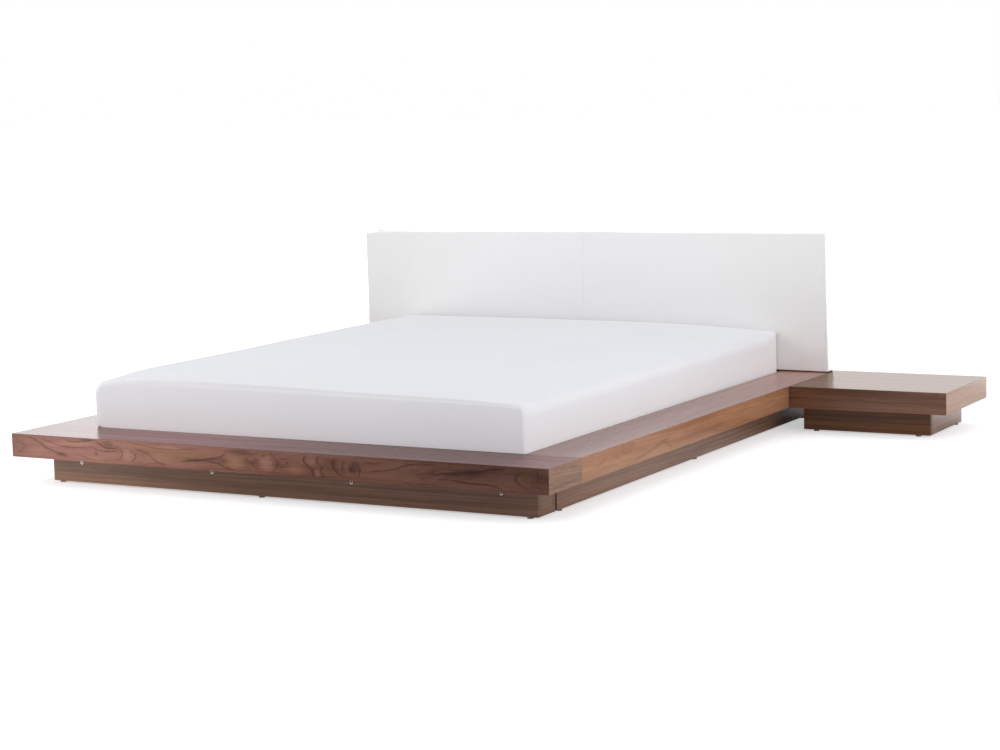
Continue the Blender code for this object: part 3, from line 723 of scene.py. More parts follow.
def slatPine():
    look = pineLook
    material, shader, place = newMaterial("slatPine", Roughness=0.6, Specular_IOR_Level=0.3)
    y, z = splitPlace(place)[1:]
    sway = noiseAt(stretchPlace(place, look["swayScale"]), detail=2.0)
    ring = maths("FRACT", times(timesPlus(sway, look["sway"], plus(y, z)), look["ringScale"]))
    band = rampOf(ring, [(0.0, look["light"]), (0.7, look["middle"]), (0.93, look["dark"]),
                         (1.0, look["light"])])
    fibre = noiseAt(stretchPlace(place, look["fibreScale"]))
    body = mixColours(spread(fibre, 0.3, 0.7, 0, 0.3), band, look["fibres"])
    setInputs(shader, Base_Color=body, Normal=bumpFrom(fibre, look["relief"]))
    return material


steelLook = {
    "bright": colour(0.27, 0.275, 0.285),
    "dull": colour(0.19, 0.195, 0.205),
    "roughness": (0.28, 0.42),
    "zinc": 0.12,
    "zincScale": 160.0,
    "brushScale": (2600, 400, 30),
    "relief": 0.03 * mm,
}


def brushedSteel():
    look = steelLook
    material, shader, place = newMaterial("brushedSteel", Metallic=1.0)
    brushed = noiseAt(stretchPlace(place, look["brushScale"]))
    tint = mixColours(look["zinc"], look["bright"], cellsAt(place, look["zincScale"], "Color"), "OVERLAY")
    tint = mixColours(spread(brushed, 0.3, 0.7, 0, 0.3), tint, look["dull"])
    setInputs(shader, Base_Color=tint, Roughness=spread(brushed, 0.3, 0.7, *look["roughness"]),
              Normal=bumpFrom(brushed, look["relief"]))
    return material


chromeLook = {
    "greys": (colour(0.36, 0.33, 0.315), colour(0.44, 0.41, 0.395)),
    "roughness": (0.12, 0.2),
    "markScale": (900, 900, 4000),
}


def lampChrome():
    look = chromeLook
    material, shader, place = newMaterial("lampChrome", Metallic=1.0)
    marks = noiseAt(stretchPlace(place, look["markScale"]), detail=2.0)
    setInputs(shader, Base_Color=mixColours(marks, *look["greys"]),
              Roughness=spread(marks, 0.3, 0.7, *look["roughness"]))
    return material


lensLook = {"darks": (colour(0.020, 0.012, 0.008), colour(0.05, 0.035, 0.025)), "cellScale": 1400.0}


def lampLens():
    look = lensLook
    material, shader, place = newMaterial("lampLens", Roughness=0.3, Coat_Weight=0.2,
                                          Coat_Roughness=0.06, Specular_IOR_Level=0.2)
    cells = spread(cellsAt(place, look["cellScale"]), 0.1, 0.5)
    setInputs(shader, Base_Color=mixColours(cells, *look["darks"]))
    return material


plasticLook = {
    "driver": {"shades": (colour(0.018, 0.018, 0.020), colour(0.030, 0.030, 0.032)), "roughness": 0.5},
    "glide": {"shades": (colour(0.090, 0.045, 0.032), colour(0.130, 0.070, 0.050)), "roughness": 0.42},
    "roughnessSwing": (-0.05, 0.1),
    "cloudScale": 40.0,
    "sparkScale": 1500.0,
    "relief": 0.08 * mm,
}


def mouldedPlastic(word):
    look = plasticLook
    material, shader, place = newMaterial(word + "Plastic")
    spark = noiseAt(place, look["sparkScale"], 2.0)
    smooth, rough = [look[word]["roughness"] + swing for swing in look["roughnessSwing"]]
    setInputs(shader, Base_Color=mixColours(noiseAt(place, look["cloudScale"], 2.0), *look[word]["shades"]),
              Roughness=spread(spark, 0.3, 0.7, smooth, rough), Normal=bumpFrom(spark, look["relief"]))
    return material


finishes = {
    "cover": coverCloth(),
    "leather": whiteLeather(),
    "lining": liningCloth(),
    "pine": slatPine(),
    "steel": brushedSteel(),
    "chrome": lampChrome(),
    "lens": lampLens(),
    "driver": mouldedPlastic("driver"),
    "glide": mouldedPlastic("glide"),
}
print("other finishes made:", len(finishes))


def dress(item, material):
    item.data.materials.clear()
    item.data.materials.append(material)


def newPiece(name, shape, material, body="frame", sharpAngle=None, smooth=True):
    # turns a bmesh into a named piece that rides on its body
    item = bpy.data.objects.new(name, meshFrom(name, shape, smooth, sharpAngle))
    bpy.context.scene.collection.objects.link(item)
    dress(item, material)
    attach(item, body)
    return item


def meshFrom(name, shape, smooth=True, sharpAngle=None):
    bmesh.ops.recalc_face_normals(shape, faces=shape.faces)
    mesh = bpy.data.meshes.new(name)
    shape.to_mesh(mesh)
    shape.free()
    if smooth:
        mesh.shade_smooth()
        if sharpAngle:
            mesh.set_sharp_from_angle(angle=math.radians(sharpAngle))
    return mesh


edgeLook = {"boards": 0.6 * mm, "panel": 2 * mm, "steps": 2, "fromAngle": 35, "weld": 0.01 * mm}


def easeEdges(item, width):
    # boards and bars have their sharp edges broken with sandpaper
    weld = item.modifiers.new("joinedCorners", "WELD")
    weld.merge_threshold = edgeLook["weld"]
    bevel = item.modifiers.new("brokenEdges", "BEVEL")
    bevel.width = width
    bevel.segments = edgeLook["steps"]
    bevel.limit_method = "ANGLE"
    bevel.angle_limit = math.radians(edgeLook["fromAngle"])


# Boards whose solids are right as they are
def dressBoards():
    finish = {
        "front_fascia": woods["footBoard"],
        "front_top_board": woods["footDeck"],
        "head_deck_board": woods["headDeck"],
        "rear_fascia": woods["plinthAlongX"],
    }
    for word in ("left", "right"):
        finish["front_end_" + word] = woods[word + "End"]
        finish[word + "_deck_board"] = woods[word + "Deck"]
        finish[word + "_fascia"] = woods[word + "Side"]
        finish[word + "_table_top"] = woods[word + "TableTop"]
        finish[word + "_table_front"] = woods[word + "TableFront"]
        finish[word + "_table_outer_side"] = woods[word + "TableSide"]
        finish[word + "_table_rear"] = woods["plinthAlongX"]
        finish["front_plinth_return_" + word] = woods["plinthAlongY"]
    for name, material in finish.items():
        dress(nodes[name], material)
        easeEdges(nodes[name], edgeLook["boards"])
    dress(nodes["centre_beam"], finishes["pine"])
    easeEdges(nodes["centre_beam"], edgeLook["boards"])
    for name in sorted(nodes):
        if name.startswith("slat_"):
            dress(nodes[name], finishes["pine"])
    print("boards dressed:", len(finish))


dressBoards()


# Boards that stand on nailed glides: the board above the glides, and the glides themselves
glideLook = {
    "rim": 1.4 * mm,
    "topShare": 0.93,
    "nailRadius": 3.2 * mm,
    "nailDepth": 1.2 * mm,
    "nailSeat": 0.4 * mm,
    "sides": 40,
    "widest": 25 * mm,
    "gap": 0.1 * mm,
}


def turnedShape(profile, sides, shape=None):
    # spins (radius, height) points round Z; a point on the axis closes the form
    shape = shape or bmesh.new()
    rings = []
    for radius, height in profile:
        count = 1 if radius == 0 else sides
        turns = [2 * math.pi * step / sides for step in range(count)]
        rings.append([shape.verts.new((radius * math.cos(turn), radius * math.sin(turn), height))
                      for turn in turns])
    for lower, upper in zip(rings, rings[1:]):
        for step in range(sides):
            after = (step + 1) % sides
            corners = [lower[step % len(lower)], lower[after % len(lower)],
                       upper[after % len(upper)], upper[step % len(upper)]]
            shape.faces.new(list(dict.fromkeys(corners)))
    return shape


def arcPoints(centre, radius, start, end, steps):
    turns = [math.radians(start + (end - start) * step / steps) for step in range(steps + 1)]
    return [(centre[0] + radius * math.cos(turn), centre[1] + radius * math.sin(turn)) for turn in turns]


def placeNew(shape, before, place, turn=None):
    # turns and moves the points that a shape gained since it had that many
    shape.verts.ensure_lookup_table()
    made = shape.verts[before:]
    if turn:
        bmesh.ops.rotate(shape, verts=made, matrix=turn)
    bmesh.ops.translate(shape, vec=place, verts=made)


def gatherPlaces(points, reach):
    # the middles of groups of points that lie within reach of each other
    groups = []
    for point in points:
        for group in groups:
            if (group[0] - point).length < reach:
                group.append(point)
                break
        else:
            groups.append([point])
    return [Vector([(max(row) + min(row)) / 2 for row in zip(*group)]) for group in groups]


def standingBoard(node, material):
    look = glideLook
    corners = [vertex.co for vertex in nodes[node].data.vertices]
    glideTop = min(corner.z for corner in corners if corner.z > mm)
    feet = [corner for corner in corners if corner.z < look["gap"]]
    places = gatherPlaces(feet, look["widest"])
    shape = bmesh.new()
    shape.from_mesh(nodes[node].data)
    bmesh.ops.remove_doubles(shape, verts=shape.verts, dist=edgeLook["weld"])
    cut = bmesh.ops.bisect_plane(shape, geom=shape.verts[:] + shape.edges[:] + shape.faces[:],
                                 dist=0.1 * edgeLook["weld"], plane_co=(0, 0, glideTop + look["gap"]),
                                 plane_no=(0, 0, 1), clear_inner=True)
    openEdges = [item for item in cut["geom_cut"] if isinstance(item, bmesh.types.BMEdge)]
    bmesh.ops.contextual_create(shape, geom=openEdges)
    bmesh.ops.dissolve_limit(shape, angle_limit=0.01, verts=shape.verts, edges=shape.edges)
    board = newPiece(node + "Board", shape, material, smooth=False)
    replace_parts(board, node)
    easeEdges(board, edgeLook["boards"])

    distances = [(corner - places[0]).xy.length for corner in feet]
    radius = max(distance for distance in distances if distance < look["widest"])
    rim, nail, sunk = look["rim"], look["nailRadius"], look["nailDepth"]
    profile = [(0, sunk), (nail * 0.8, sunk), (nail, sunk * 0.6), (nail, look["nailSeat"] / 2),
               (nail + look["nailSeat"], 0)]
    profile += arcPoints((radius - rim, rim), rim, -90, 0, 5)
    profile += [(radius * look["topShare"], glideTop), (0, glideTop)]
    glides = bmesh.new()
    for place in places:
        before = len(glides.verts)
        turnedShape(profile, look["sides"], glides)
        placeNew(glides, before, (place.x, place.y, 0))
    newPiece(node + "Glides", glides, finishes["glide"], sharpAngle=35)


def makeStandingBoards():
    finish = {
        "front_plinth": woods["plinthAlongX"],
        "front_plinth_back": woods["plinthAlongX"],
        "rear_plinth": woods["plinthAlongX"],
        "centre_leg": woods["plinthAlongY"],
    }
    for word in ("left", "right"):
        finish[word + "_plinth"] = woods["plinthAlongY"]
        finish[word + "_slat_rail"] = woods["plinthAlongY"]
        finish[word + "_table_plinth_front"] = woods["tablePlinthX"]
        finish[word + "_table_plinth_inner"] = woods["tablePlinthY"]
        finish[word + "_table_plinth_outer"] = woods["tablePlinthY"]
    for node, material in finish.items():
        standingBoard(node, material)
    print("boards on glides made:", len(finish))


makeStandingBoards()


# Lamps in the foot plinth: a turned housing with a rounded rim and a nut behind, and a sunk lens
lampLook = {
    "sides": 56,
    "rimTrim": 0.4 * mm,
    "rimRound": 0.8 * mm,
    "barrel": 4.2 * mm,
    "lens": 3.8 * mm,
    "lensFit": 0.97,
    "lensGap": 0.02 * mm,
    "lensWall": 0.3 * mm,
    "domeRise": 0.5 * mm,
    "domeTurns": (0, 0.4, 0.8, 1.2),
    "rimSteps": 5,
    "boardGap": 0.3 * mm,
}


def addLampPart(name, profile, finish, sharpAngle, turn):
    part = newPiece(name, turnedShape(profile, lampLook["sides"]), finishes[finish],
                    sharpAngle=sharpAngle)
    part.data.transform(turn)
    return part


def makeLamps():
    look = lampLook
    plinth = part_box("front_plinth")
    rimBack, nutFront = plinth[0].y - look["boardGap"], plinth[1].y + look["boardGap"]
    found = sorted(name for name in nodes if name.startswith("led_lamp_"))
    for number, node in enumerate(found, 1):
        low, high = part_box(node)
        centre = (low + high) / 2
        depths = sorted({round(vertex.co.y, 5) for vertex in nodes[node].data.vertices})
        front, seat, back = depths[0], depths[2], high.y
        nutRadius = (high.x - low.x) / 2
        rimRadius = nutRadius - look["rimTrim"]
        barrel, lens, bend = look["barrel"], look["lens"], look["rimRound"]
        faceHeight, seatHeight = rimBack - front, rimBack - seat
        housing = [(0, seatHeight), (lens, seatHeight), (lens, faceHeight - bend / 2)]
        housing += arcPoints((rimRadius - bend, faceHeight - bend), bend, 90, 0, look["rimSteps"])
        housing += [(rimRadius, 0), (barrel, 0), (barrel, rimBack - nutFront),
                    (nutRadius, rimBack - nutFront), (nutRadius, rimBack - back), (0, rimBack - back)]
        edge, wall, rise = lens * look["lensFit"], seatHeight + look["lensWall"], look["domeRise"]
        dome = [(0, seatHeight + look["lensGap"]), (edge, seatHeight + look["lensGap"])]
        dome += [(edge * math.cos(tilt), wall + rise * math.sin(tilt)) for tilt in look["domeTurns"]]
        dome.append((0, wall + rise))
        turn = Matrix.Translation((centre.x, rimBack, centre.z)) @ Matrix.Rotation(math.pi / 2, 4, "X")
        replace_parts(addLampPart(f"lampHousing{number}", housing, "chrome", 30, turn), node)
        addLampPart(f"lampLens{number}", dome, "lens", 50, turn)
    print("lamps made:", len(found))


makeLamps()


# Soft forms start as a closed box of quads whose edges are rounded evenly
def softBox(low, high, radii, edgeSteps, counts):
    half, centre = (high - low) / 2, (high + low) / 2
    places = []
    for axis in range(3):
        inner = half[axis] - radii[axis]
        rises = [math.tan(math.pi / 4 * step / edgeSteps) for step in range(1, edgeSteps + 1)]
        row = [(-inner, -rise) for rise in reversed(rises)]
        row += [(inner * (2 * step / counts[axis] - 1), 0.0) for step in range(counts[axis] + 1)]
        row += [(inner, rise) for rise in rises]
        places.append(row)
    shape = bmesh.new()
    made = {}

    def corner(index):
        if index not in made:
            core = Vector([places[axis][index[axis]][0] for axis in range(3)])
            out = Vector([places[axis][index[axis]][1] for axis in range(3)]).normalized()
            made[index] = shape.verts.new(centre + core + Vector([out[i] * radii[i] for i in range(3)]))
        return made[index]

    for axis in range(3):
        first, second = [other for other in range(3) if other != axis]
        for end in (0, len(places[axis]) - 1):
            for i in range(len(places[first]) - 1):
                for j in range(len(places[second]) - 1):
                    quad = []
                    for stepI, stepJ in ((0, 0), (1, 0), (1, 1), (0, 1)):
                        index = [end, end, end]
                        index[first], index[second] = i + stepI, j + stepJ
                        quad.append(corner(tuple(index)))
                    shape.faces.new(quad)
    return shape


def smoothStep(value, low, high):
    share = min(max((value - low) / (high - low), 0), 1)
    return share * share * (3 - 2 * share)


def addSubdivision(item, levels):
    modifier = item.modifiers.new("fineSurface", "SUBSURF")
    modifier.levels = levels
    modifier.render_levels = levels


# Mattress
mattressLook = {
    "radii": (36 * mm, 24 * mm, 45 * mm),
    "edgeSteps": 12,
    "counts": (44, 54, 36),
    "crown": 17 * mm,
    "drawnIn": 3 * mm,
    "footTightness": 0.26,
    "baseTightness": 0.2,
    "cornerTightness": 0.32,
    "headTightness": 0.3,
    "release": {"foot": 90 * mm, "base": 110 * mm, "top": 150 * mm},
    "footReach": 60 * mm,
    "rightSlump": 24 * mm,
    "leftSlump": 8 * mm,
    "footSlump": 10 * mm,
    "footDip": 2 * mm,
    "leftCornerSlump": 12 * mm,
    "rightSlumpPower": 2.6,
    "leftSlumpPower": 4,
    "footSlumpShares": (0.35, 0.5),
    "leftBulge": 19.5 * mm,
    "bulgeRise": 2 * mm,
    "headInset": 6.5 * mm,
    "seamDrop": 8 * mm,
    "seamDepth": 1.8 * mm,
    "seamWidth": 4.5 * mm,
    "seamLeftShare": 0.35,
    "waves": 0.72 * mm,
    "waveScales": (3.1, 7.3),
    # where each change fades in, as shares of the half length or half width
    "cornerShares": (0.94, 0.985),
    "rightShares": (0, 0.5),
    "footShares": (0.75, 1.0),
    "leftCornerShares": (0.72, 1.0),
    "headFadeShares": (-0.5, 0.6),
    "sideShares": (0.88, 1.0),
    "seamShares": (-0.8, -0.2),
}


def tighten(distance, radius, factor, release):
    # squeezes a rounded edge towards a sharper one, and lets go of the squeeze by release
    share = min(distance / radius, 1)
    return distance - radius * (1 - factor) * share * (1 - smoothStep(distance, radius, release))


def bell(value, middle, width):
    return math.exp(-((value - middle) / width) ** 2)


def makeMattress():
    look = mattressLook
    low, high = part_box("mattress")
    top = high.z - look["crown"]
    radii, release = look["radii"], look["release"]
    shape = softBox(low, Vector((high.x, high.y, top)), radii, look["edgeSteps"], look["counts"])
    middle, half = (low + high) / 2, (high - low) / 2
    shape.normal_update()
    moves = []
    for vertex in shape.verts:
        x, y, z = vertex.co
        sx, sy = (x - middle.x) / half.x, (y - middle.y) / half.y
        normal = vertex.normal.copy()

        # the base and the foot's top edge are tighter than the sides' top edges
        awayFromCorners = 1 - smoothStep(abs(sx), *look["cornerShares"])
        footAway = tighten(y - low.y, radii[1], look["footTightness"], release["foot"]) + low.y
        y += (footAway - y) * awayFromCorners
        drop = top - z
        nearFoot = (1 - smoothStep(vertex.co.y - low.y, radii[1], look["footReach"])) * awayFromCorners
        drop += (tighten(drop, radii[2], look["footTightness"], release["top"]) - drop) * nearFoot
        z = top - drop
        rise = tighten(vertex.co.z - low.z, radii[2], look["baseTightness"], release["base"])
        if vertex.co.z < middle.z:
            z = low.z + rise

        # so are the sides' base and the right side's two upright corners
        inset = half.x - abs(vertex.co.x - middle.x)
        base = 1 - smoothStep(vertex.co.z - low.z, radii[2], 1.5 * radii[2])
        toRight = smoothStep(sx, *look["rightShares"])
        toFoot = (1 - smoothStep(vertex.co.y - low.y, radii[1], release["foot"])) * toRight
        toHead = (1 - smoothStep(high.y - vertex.co.y, radii[1], release["foot"])) * toRight
        tighter = max(base * (1 - look["baseTightness"]), toFoot * (1 - look["cornerTightness"]),
                      toHead * (1 - look["headTightness"]))
        x += (inset - tighten(inset, radii[0], 1 - tighter, release["foot"])) * (1 if sx > 0 else -1)
        z += (top - z - tighten(top - z, radii[2], look["headTightness"], release["top"])) * toHead

        # the top: highest left of the middle, lower to the right and along the foot
        height = smoothStep(vertex.co.z, middle.z, top)
        towardsHead = smoothStep(sy, *look["headFadeShares"])
        alongFoot = smoothStep(-sy, *look["footShares"])
        atLeftCorner = smoothStep(-sx, *look["footShares"]) * smoothStep(-sy, *look["leftCornerShares"])
        slump = look["rightSlump"] * max(sx, 0) ** look["rightSlumpPower"]
        slump += look["leftSlump"] * abs(min(sx, 0)) ** look["leftSlumpPower"] * (1 - 0.8 * towardsHead)
        slump += (look["footSlump"] * bell(sx, *look["footSlumpShares"]) + look["footDip"]) * alongFoot
        slump += look["leftCornerSlump"] * atLeftCorner
        lift = (look["crown"] - slump) * height

        drawX = -look["drawnIn"] * (1 - sy * sy) * sx * abs(sx) ** 3
        drawY = -look["drawnIn"] * (1 - sx * sx) * sy * abs(sy) ** 3
        aboveDeck = smoothStep(z, deckTop, deckTop + look["bulgeRise"])
        bulge = -look["leftBulge"] * smoothStep(-sx, *look["sideShares"]) * aboveDeck
        bulge -= look["headInset"] * smoothStep(sy, -1, 1) ** 2 * smoothStep(sx, *look["sideShares"])
        slow, quick = look["waveScales"]
        wave = noise.noise(vertex.co * slow) + 0.5 * noise.noise(vertex.co * quick + Vector((3, 1, 4)))
        groove = 0.0
        if sy < -0.9:
            groove = look["seamDepth"] * bell(drop, look["seamDrop"], look["seamWidth"]) * awayFromCorners
            faint = look["seamLeftShare"]
            groove *= faint + (1 - faint) * smoothStep(sx, *look["seamShares"])
        place = Vector((x + drawX + bulge, y + drawY + groove, z + lift))
        moves.append((vertex, place + normal * look["waves"] * wave))
    for vertex, place in moves:
        place.z = min(place.z, high.z)
        vertex.co = place
    mattress = newPiece("mattressCovered", shape, finishes["cover"], "mattress")
    addSubdivision(mattress, 1)
    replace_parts(mattress, "mattress")
    print("mattress made:", len(mattress.data.vertices), "points")


makeMattress()


# Headboard pads
padLook = {
    "radii": (11 * mm, 9 * mm, 12 * mm),
    "edgeSteps": 6,
    "counts": (56, 2, 30),
    "crown": 5 * mm,
    "drawnIn": 1.5 * mm,
    "innerLift": 2.8 * mm,
    "outerLift": {"left": -3.5 * mm, "right": 5.5 * mm},
    "outerDroop": {"left": 7 * mm, "right": 1 * mm},
    "outerBulge": {"left": 15 * mm, "right": 0 * mm},
    "topDrawIn": {"left": 0 * mm, "right": 7 * mm},
    "release": 60 * mm,
    "faceTightness": 0.03,
    "seamTightness": 0.01,
    "seamPress": -0.05 * mm,
    "outerTightness": 0.3,
    "baseTightness": 0.08,
    "topTightness": 0.6,
    "waves": 0.8 * mm,
    "waveScales": (5.0, 14.0),
    "endShares": (0.72, 1.0),
    "droopShares": (0.6, 1.0),
    "liftShares": (-0.2, 1.0),
    "drawInShares": (-0.6, 1.0),
}


def makePads():
    look = padLook
    radii, release = look["radii"], look["release"]
    for word, side in (("left", -1), ("right", 1)):
        node = "headboard_pad_" + word
        low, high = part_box(node)
        front = low.y + look["crown"]
        shape = softBox(Vector((low.x, front, low.z)), high, radii, look["edgeSteps"], look["counts"])
        middle, half = (low + high) / 2, (high - low) / 2
        inner, outer = (high.x, low.x) if side < 0 else (low.x, high.x)
        shape.normal_update()
        moves = []
        for vertex in shape.verts:
            start = vertex.co
            x, y, z = start
            sx, sz = (x - middle.x) / half.x, (z - middle.z) / half.z
            ahead = smoothStep(high.y - y, 0, high.y - front)
            if abs(x - inner) < half.x:
                away = tighten(abs(x - inner), radii[0], look["seamTightness"], release)
                x = inner + side * (away - look["seamPress"])
            else:
                x = outer - side * tighten(abs(x - outer), radii[0], look["outerTightness"], release)
            crisp = max(1 - smoothStep(abs(start.x - inner), radii[0], 2 * radii[0]),
                        1 - smoothStep(start.z - low.z, radii[2], 2 * radii[2]))
            y += (front + tighten(y - front, radii[1], look["faceTightness"], release) - y) * crisp
            if z < middle.z:
                z = low.z + tighten(z - low.z, radii[2], look["baseTightness"], release)
            else:
                z = high.z - tighten(high.z - z, radii[2], look["topTightness"], release)
            crown = -look["crown"] * (1 - abs(sx) ** 4) * (1 - abs(sz) ** 3) * ahead
            if sx * side > 0:
                x -= look["drawnIn"] * (1 - sz * sz) * sx * abs(sx) ** 5
            z -= look["drawnIn"] * (1 - sx * sx) * sz * abs(sz) ** 5
            atEnd = smoothStep(sx * side, *look["endShares"])
            z -= look["outerDroop"][word] * atEnd ** 2 * smoothStep(sz, *look["droopShares"])
            lift = look["innerLift"] + (look["outerLift"][word] - look["innerLift"]) * (sx * side + 1) / 2
            z += lift * smoothStep(sz, *look["liftShares"])
            x += side * look["outerBulge"][word] * atEnd * ahead
            x -= side * look["topDrawIn"][word] * atEnd * smoothStep(sz, *look["drawInShares"])
            slow, quick = look["waveScales"]
            wave = noise.noise(start * slow) + 0.6 * noise.noise(start * quick + Vector((9, 2, 6)))
            moves.append((vertex, Vector((x, y + crown, z)) + vertex.normal * look["waves"] * wave * ahead))
        for vertex, place in moves:
            vertex.co = place
        pad = newPiece(word + "HeadboardPad", shape, finishes["leather"])
        addSubdivision(pad, 1)
        flat = pad.modifiers.new("flatFront", "WEIGHTED_NORMAL")
        flat.weight = 100
        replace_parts(pad, node)
    print("headboard pads made: 2")


makePads()


# Headboard back: the panel wrapped in the pads' cover, its black lining and staples, and the brackets
backLook = {
    "panelInset": 8 * mm,
    "panelTopInset": 4 * mm,
    "liningInset": 32 * mm,
    "liningThickness": 0.22 * mm,
    "liningGap": 0.02 * mm,
    "cells": (120, 30),
    "edgePull": 1.5 * mm,
    "staplePitch": 52 * mm,
    "stapleInset": 6 * mm,
    "stapleEnds": 30 * mm,
    "stapleGap": 0.3 * mm,
    "stapleWidth": 9 * mm,
    "wire": 0.45 * mm,
}


def addBar(shape, low, high):
    made = bmesh.ops.create_cube(shape, size=1)["verts"]
    low, high = Vector(low), Vector(high)
    bmesh.ops.scale(shape, vec=high - low, verts=made)
    bmesh.ops.translate(shape, vec=(low + high) / 2, verts=made)


def makePanel(low, high):
    inset = Vector((backLook["panelInset"], 0, 0))
    wrapped = bmesh.new()
    addBar(wrapped, low + inset, high - inset - Vector((0, 0, backLook["panelTopInset"])))
    panel = newPiece("headboardPanel", wrapped, finishes["leather"], smooth=False)
    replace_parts(panel, "headboard_back_panel")
    easeEdges(panel, edgeLook["panel"])


def makeLining(left, right, bottom, top, back):
    look = backLook
    shape = bmesh.new()
    columns, rows = look["cells"]
    bmesh.ops.create_grid(shape, x_segments=columns, y_segments=rows, size=0.5)
    for vertex in shape.verts:
        x = left + (right - left) * (vertex.co.x + 0.5)
        z = bottom + (top - bottom) * (vertex.co.y + 0.5)
        if max(abs(vertex.co.x), abs(vertex.co.y)) > 0.49:
            z += look["edgePull"] * noise.noise(Vector((x * 20, z * 20, 1)))
            x += look["edgePull"] * noise.noise(Vector((x * 20, z * 20, 5)))
        vertex.co = (x, back + look["liningGap"], z)
    lining = newPiece("headboardLining", shape, finishes["lining"])
    thick = lining.modifiers.new("clothThickness", "SOLIDIFY")
    thick.thickness = look["liningThickness"]
    thick.offset = -1


def evenly(start, end, pitch):
    count = int((end - start) / pitch)
    return [start + (end - start) * step / count for step in range(count + 1)]


def makeStaples(left, right, bottom, top, back):
    look = backLook
    wire, crown = look["wire"], look["stapleWidth"] / 2
    inset, ends, pitch = look["stapleInset"], look["stapleEnds"], look["staplePitch"]
    lying = [(x, z, crown, wire / 2) for z in (bottom + inset, top - inset)
             for x in evenly(left + ends, right - ends, pitch)]
    standing = [(x, z, wire / 2, crown) for x in (left + inset, right - inset)
                for z in evenly(bottom + ends, top - ends, pitch)]
    shape = bmesh.new()
    for x, z, wide, tall in lying + standing:
        addBar(shape, (x - wide, back, z - tall), (x + wide, back + wire, z + tall))
    stapled = newPiece("liningStaples", shape, finishes["steel"], smooth=False)
    soften = stapled.modifiers.new("bentWire", "BEVEL")
    soften.width = wire * 0.35
    soften.segments = 2


def makeBack():
    low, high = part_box("headboard_back_panel")
    inset = backLook["liningInset"]
    sides = (low.x + inset, high.x - inset, low.z + inset, high.z - inset)
    makePanel(low, high)
    makeLining(*sides, high.y)
    makeStaples(*sides, high.y + backLook["stapleGap"])
    print("headboard back made")


makeBack()


screwLook = {
    "radius": 4.2 * mm,
    "depth": 1.6 * mm,
    "proud": 0.4 * mm,
    "gap": 0.02 * mm,
    "sides": 40,
    "slot": 0.9 * mm,
    "slotReach": 2.6 * mm,
    "slotDepth": 0.9 * mm,
    "slotHeight": 2 * mm,
    "fromEnds": 18 * mm,
    "fromTop": 50 * mm,
    "belowDeck": 12 * mm,
    "aboveDeck": 60 * mm,
}


def bakeModifiers(item):
    bpy.context.view_layer.update()
    seen = item.evaluated_get(bpy.context.evaluated_depsgraph_get())
    mesh = bpy.data.meshes.new_from_object(seen)
    item.modifiers.clear()
    item.data = mesh


def makeBrackets():
    look = screwLook
    radius, proud, gap = look["radius"], look["proud"], look["gap"]
    profile = [(0, -look["depth"]), (radius * 0.5, -look["depth"]), (radius, gap)]
    profile += [(radius * math.cos(tilt), gap + proud * math.sin(tilt)) for tilt in (0.4, 0.9)]
    profile += [(radius * 0.55, proud), (0, proud)]
    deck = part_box("rear_fascia")[1].z
    for word in ("left", "right"):
        node = "headboard_bracket_" + word
        dress(nodes[node], finishes["steel"])
        low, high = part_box(node)
        middle = (low.x + high.x) / 2
        heights = [low.z + look["fromEnds"], deck - look["belowDeck"], deck + look["aboveDeck"],
                   high.z - look["fromTop"], high.z - look["fromEnds"]]
        shape, cutter = bmesh.new(), bmesh.new()
        reach, half = look["slotReach"], look["slot"] / 2
        for height in heights:
            before = len(shape.verts)
            turnedShape(profile, look["sides"], shape)
            placeNew(shape, before, (middle, high.y, height), Matrix.Rotation(-math.pi / 2, 3, "X"))
            for wide, tall in ((reach, half), (half, reach)):
                addBar(cutter, (middle - wide, high.y - look["slotDepth"], height - tall),
                       (middle + wide, high.y + look["slotHeight"], height + tall))
        name = word + "BracketScrews"
        screws = newPiece(name, shape, finishes["steel"], sharpAngle=30)
        tool = bpy.data.objects.new(name + "Recess", meshFrom(name + "Recess", cutter, smooth=False))
        bpy.context.scene.collection.objects.link(tool)
        cut = screws.modifiers.new("crossRecess", "BOOLEAN")
        cut.object = tool
        cut.operation = "DIFFERENCE"
        cut.solver = "EXACT"
        cut.use_self = True
        bakeModifiers(screws)
        bpy.data.objects.remove(tool)
    print("brackets and screws made")


makeBrackets()


# Lamp driver behind the rear plinth, and the two pins in its inlet
pinLook = {"radius": 1.1 * mm, "length": 9 * mm, "tip": 0.2 * mm, "bevel": 0.8 * mm, "apart": 8 * mm,
           "seat": 11.9 * mm, "sides": 20}


def makeDriver():
    look = pinLook
    dress(nodes["led_driver"], finishes["driver"])
    low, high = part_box("led_driver")
    middle = (low + high) / 2
    radius, length, tip = look["radius"], look["length"], look["tip"]
    profile = [(0, 0), (radius, 0), (radius, length - tip - look["bevel"]), (radius * 0.7, length - tip),
               (0, length)]
    shape = bmesh.new()
    for side in (-1, 1):
        before = len(shape.verts)
        turnedShape(profile, look["sides"], shape)
        place = (high.x - look["seat"], middle.y + side * look["apart"] / 2, middle.z)
        placeNew(shape, before, place, Matrix.Rotation(math.pi / 2, 3, "Y"))
    newPiece("driverInletPins", shape, finishes["steel"], sharpAngle=30)
    print("driver made")


makeDriver()


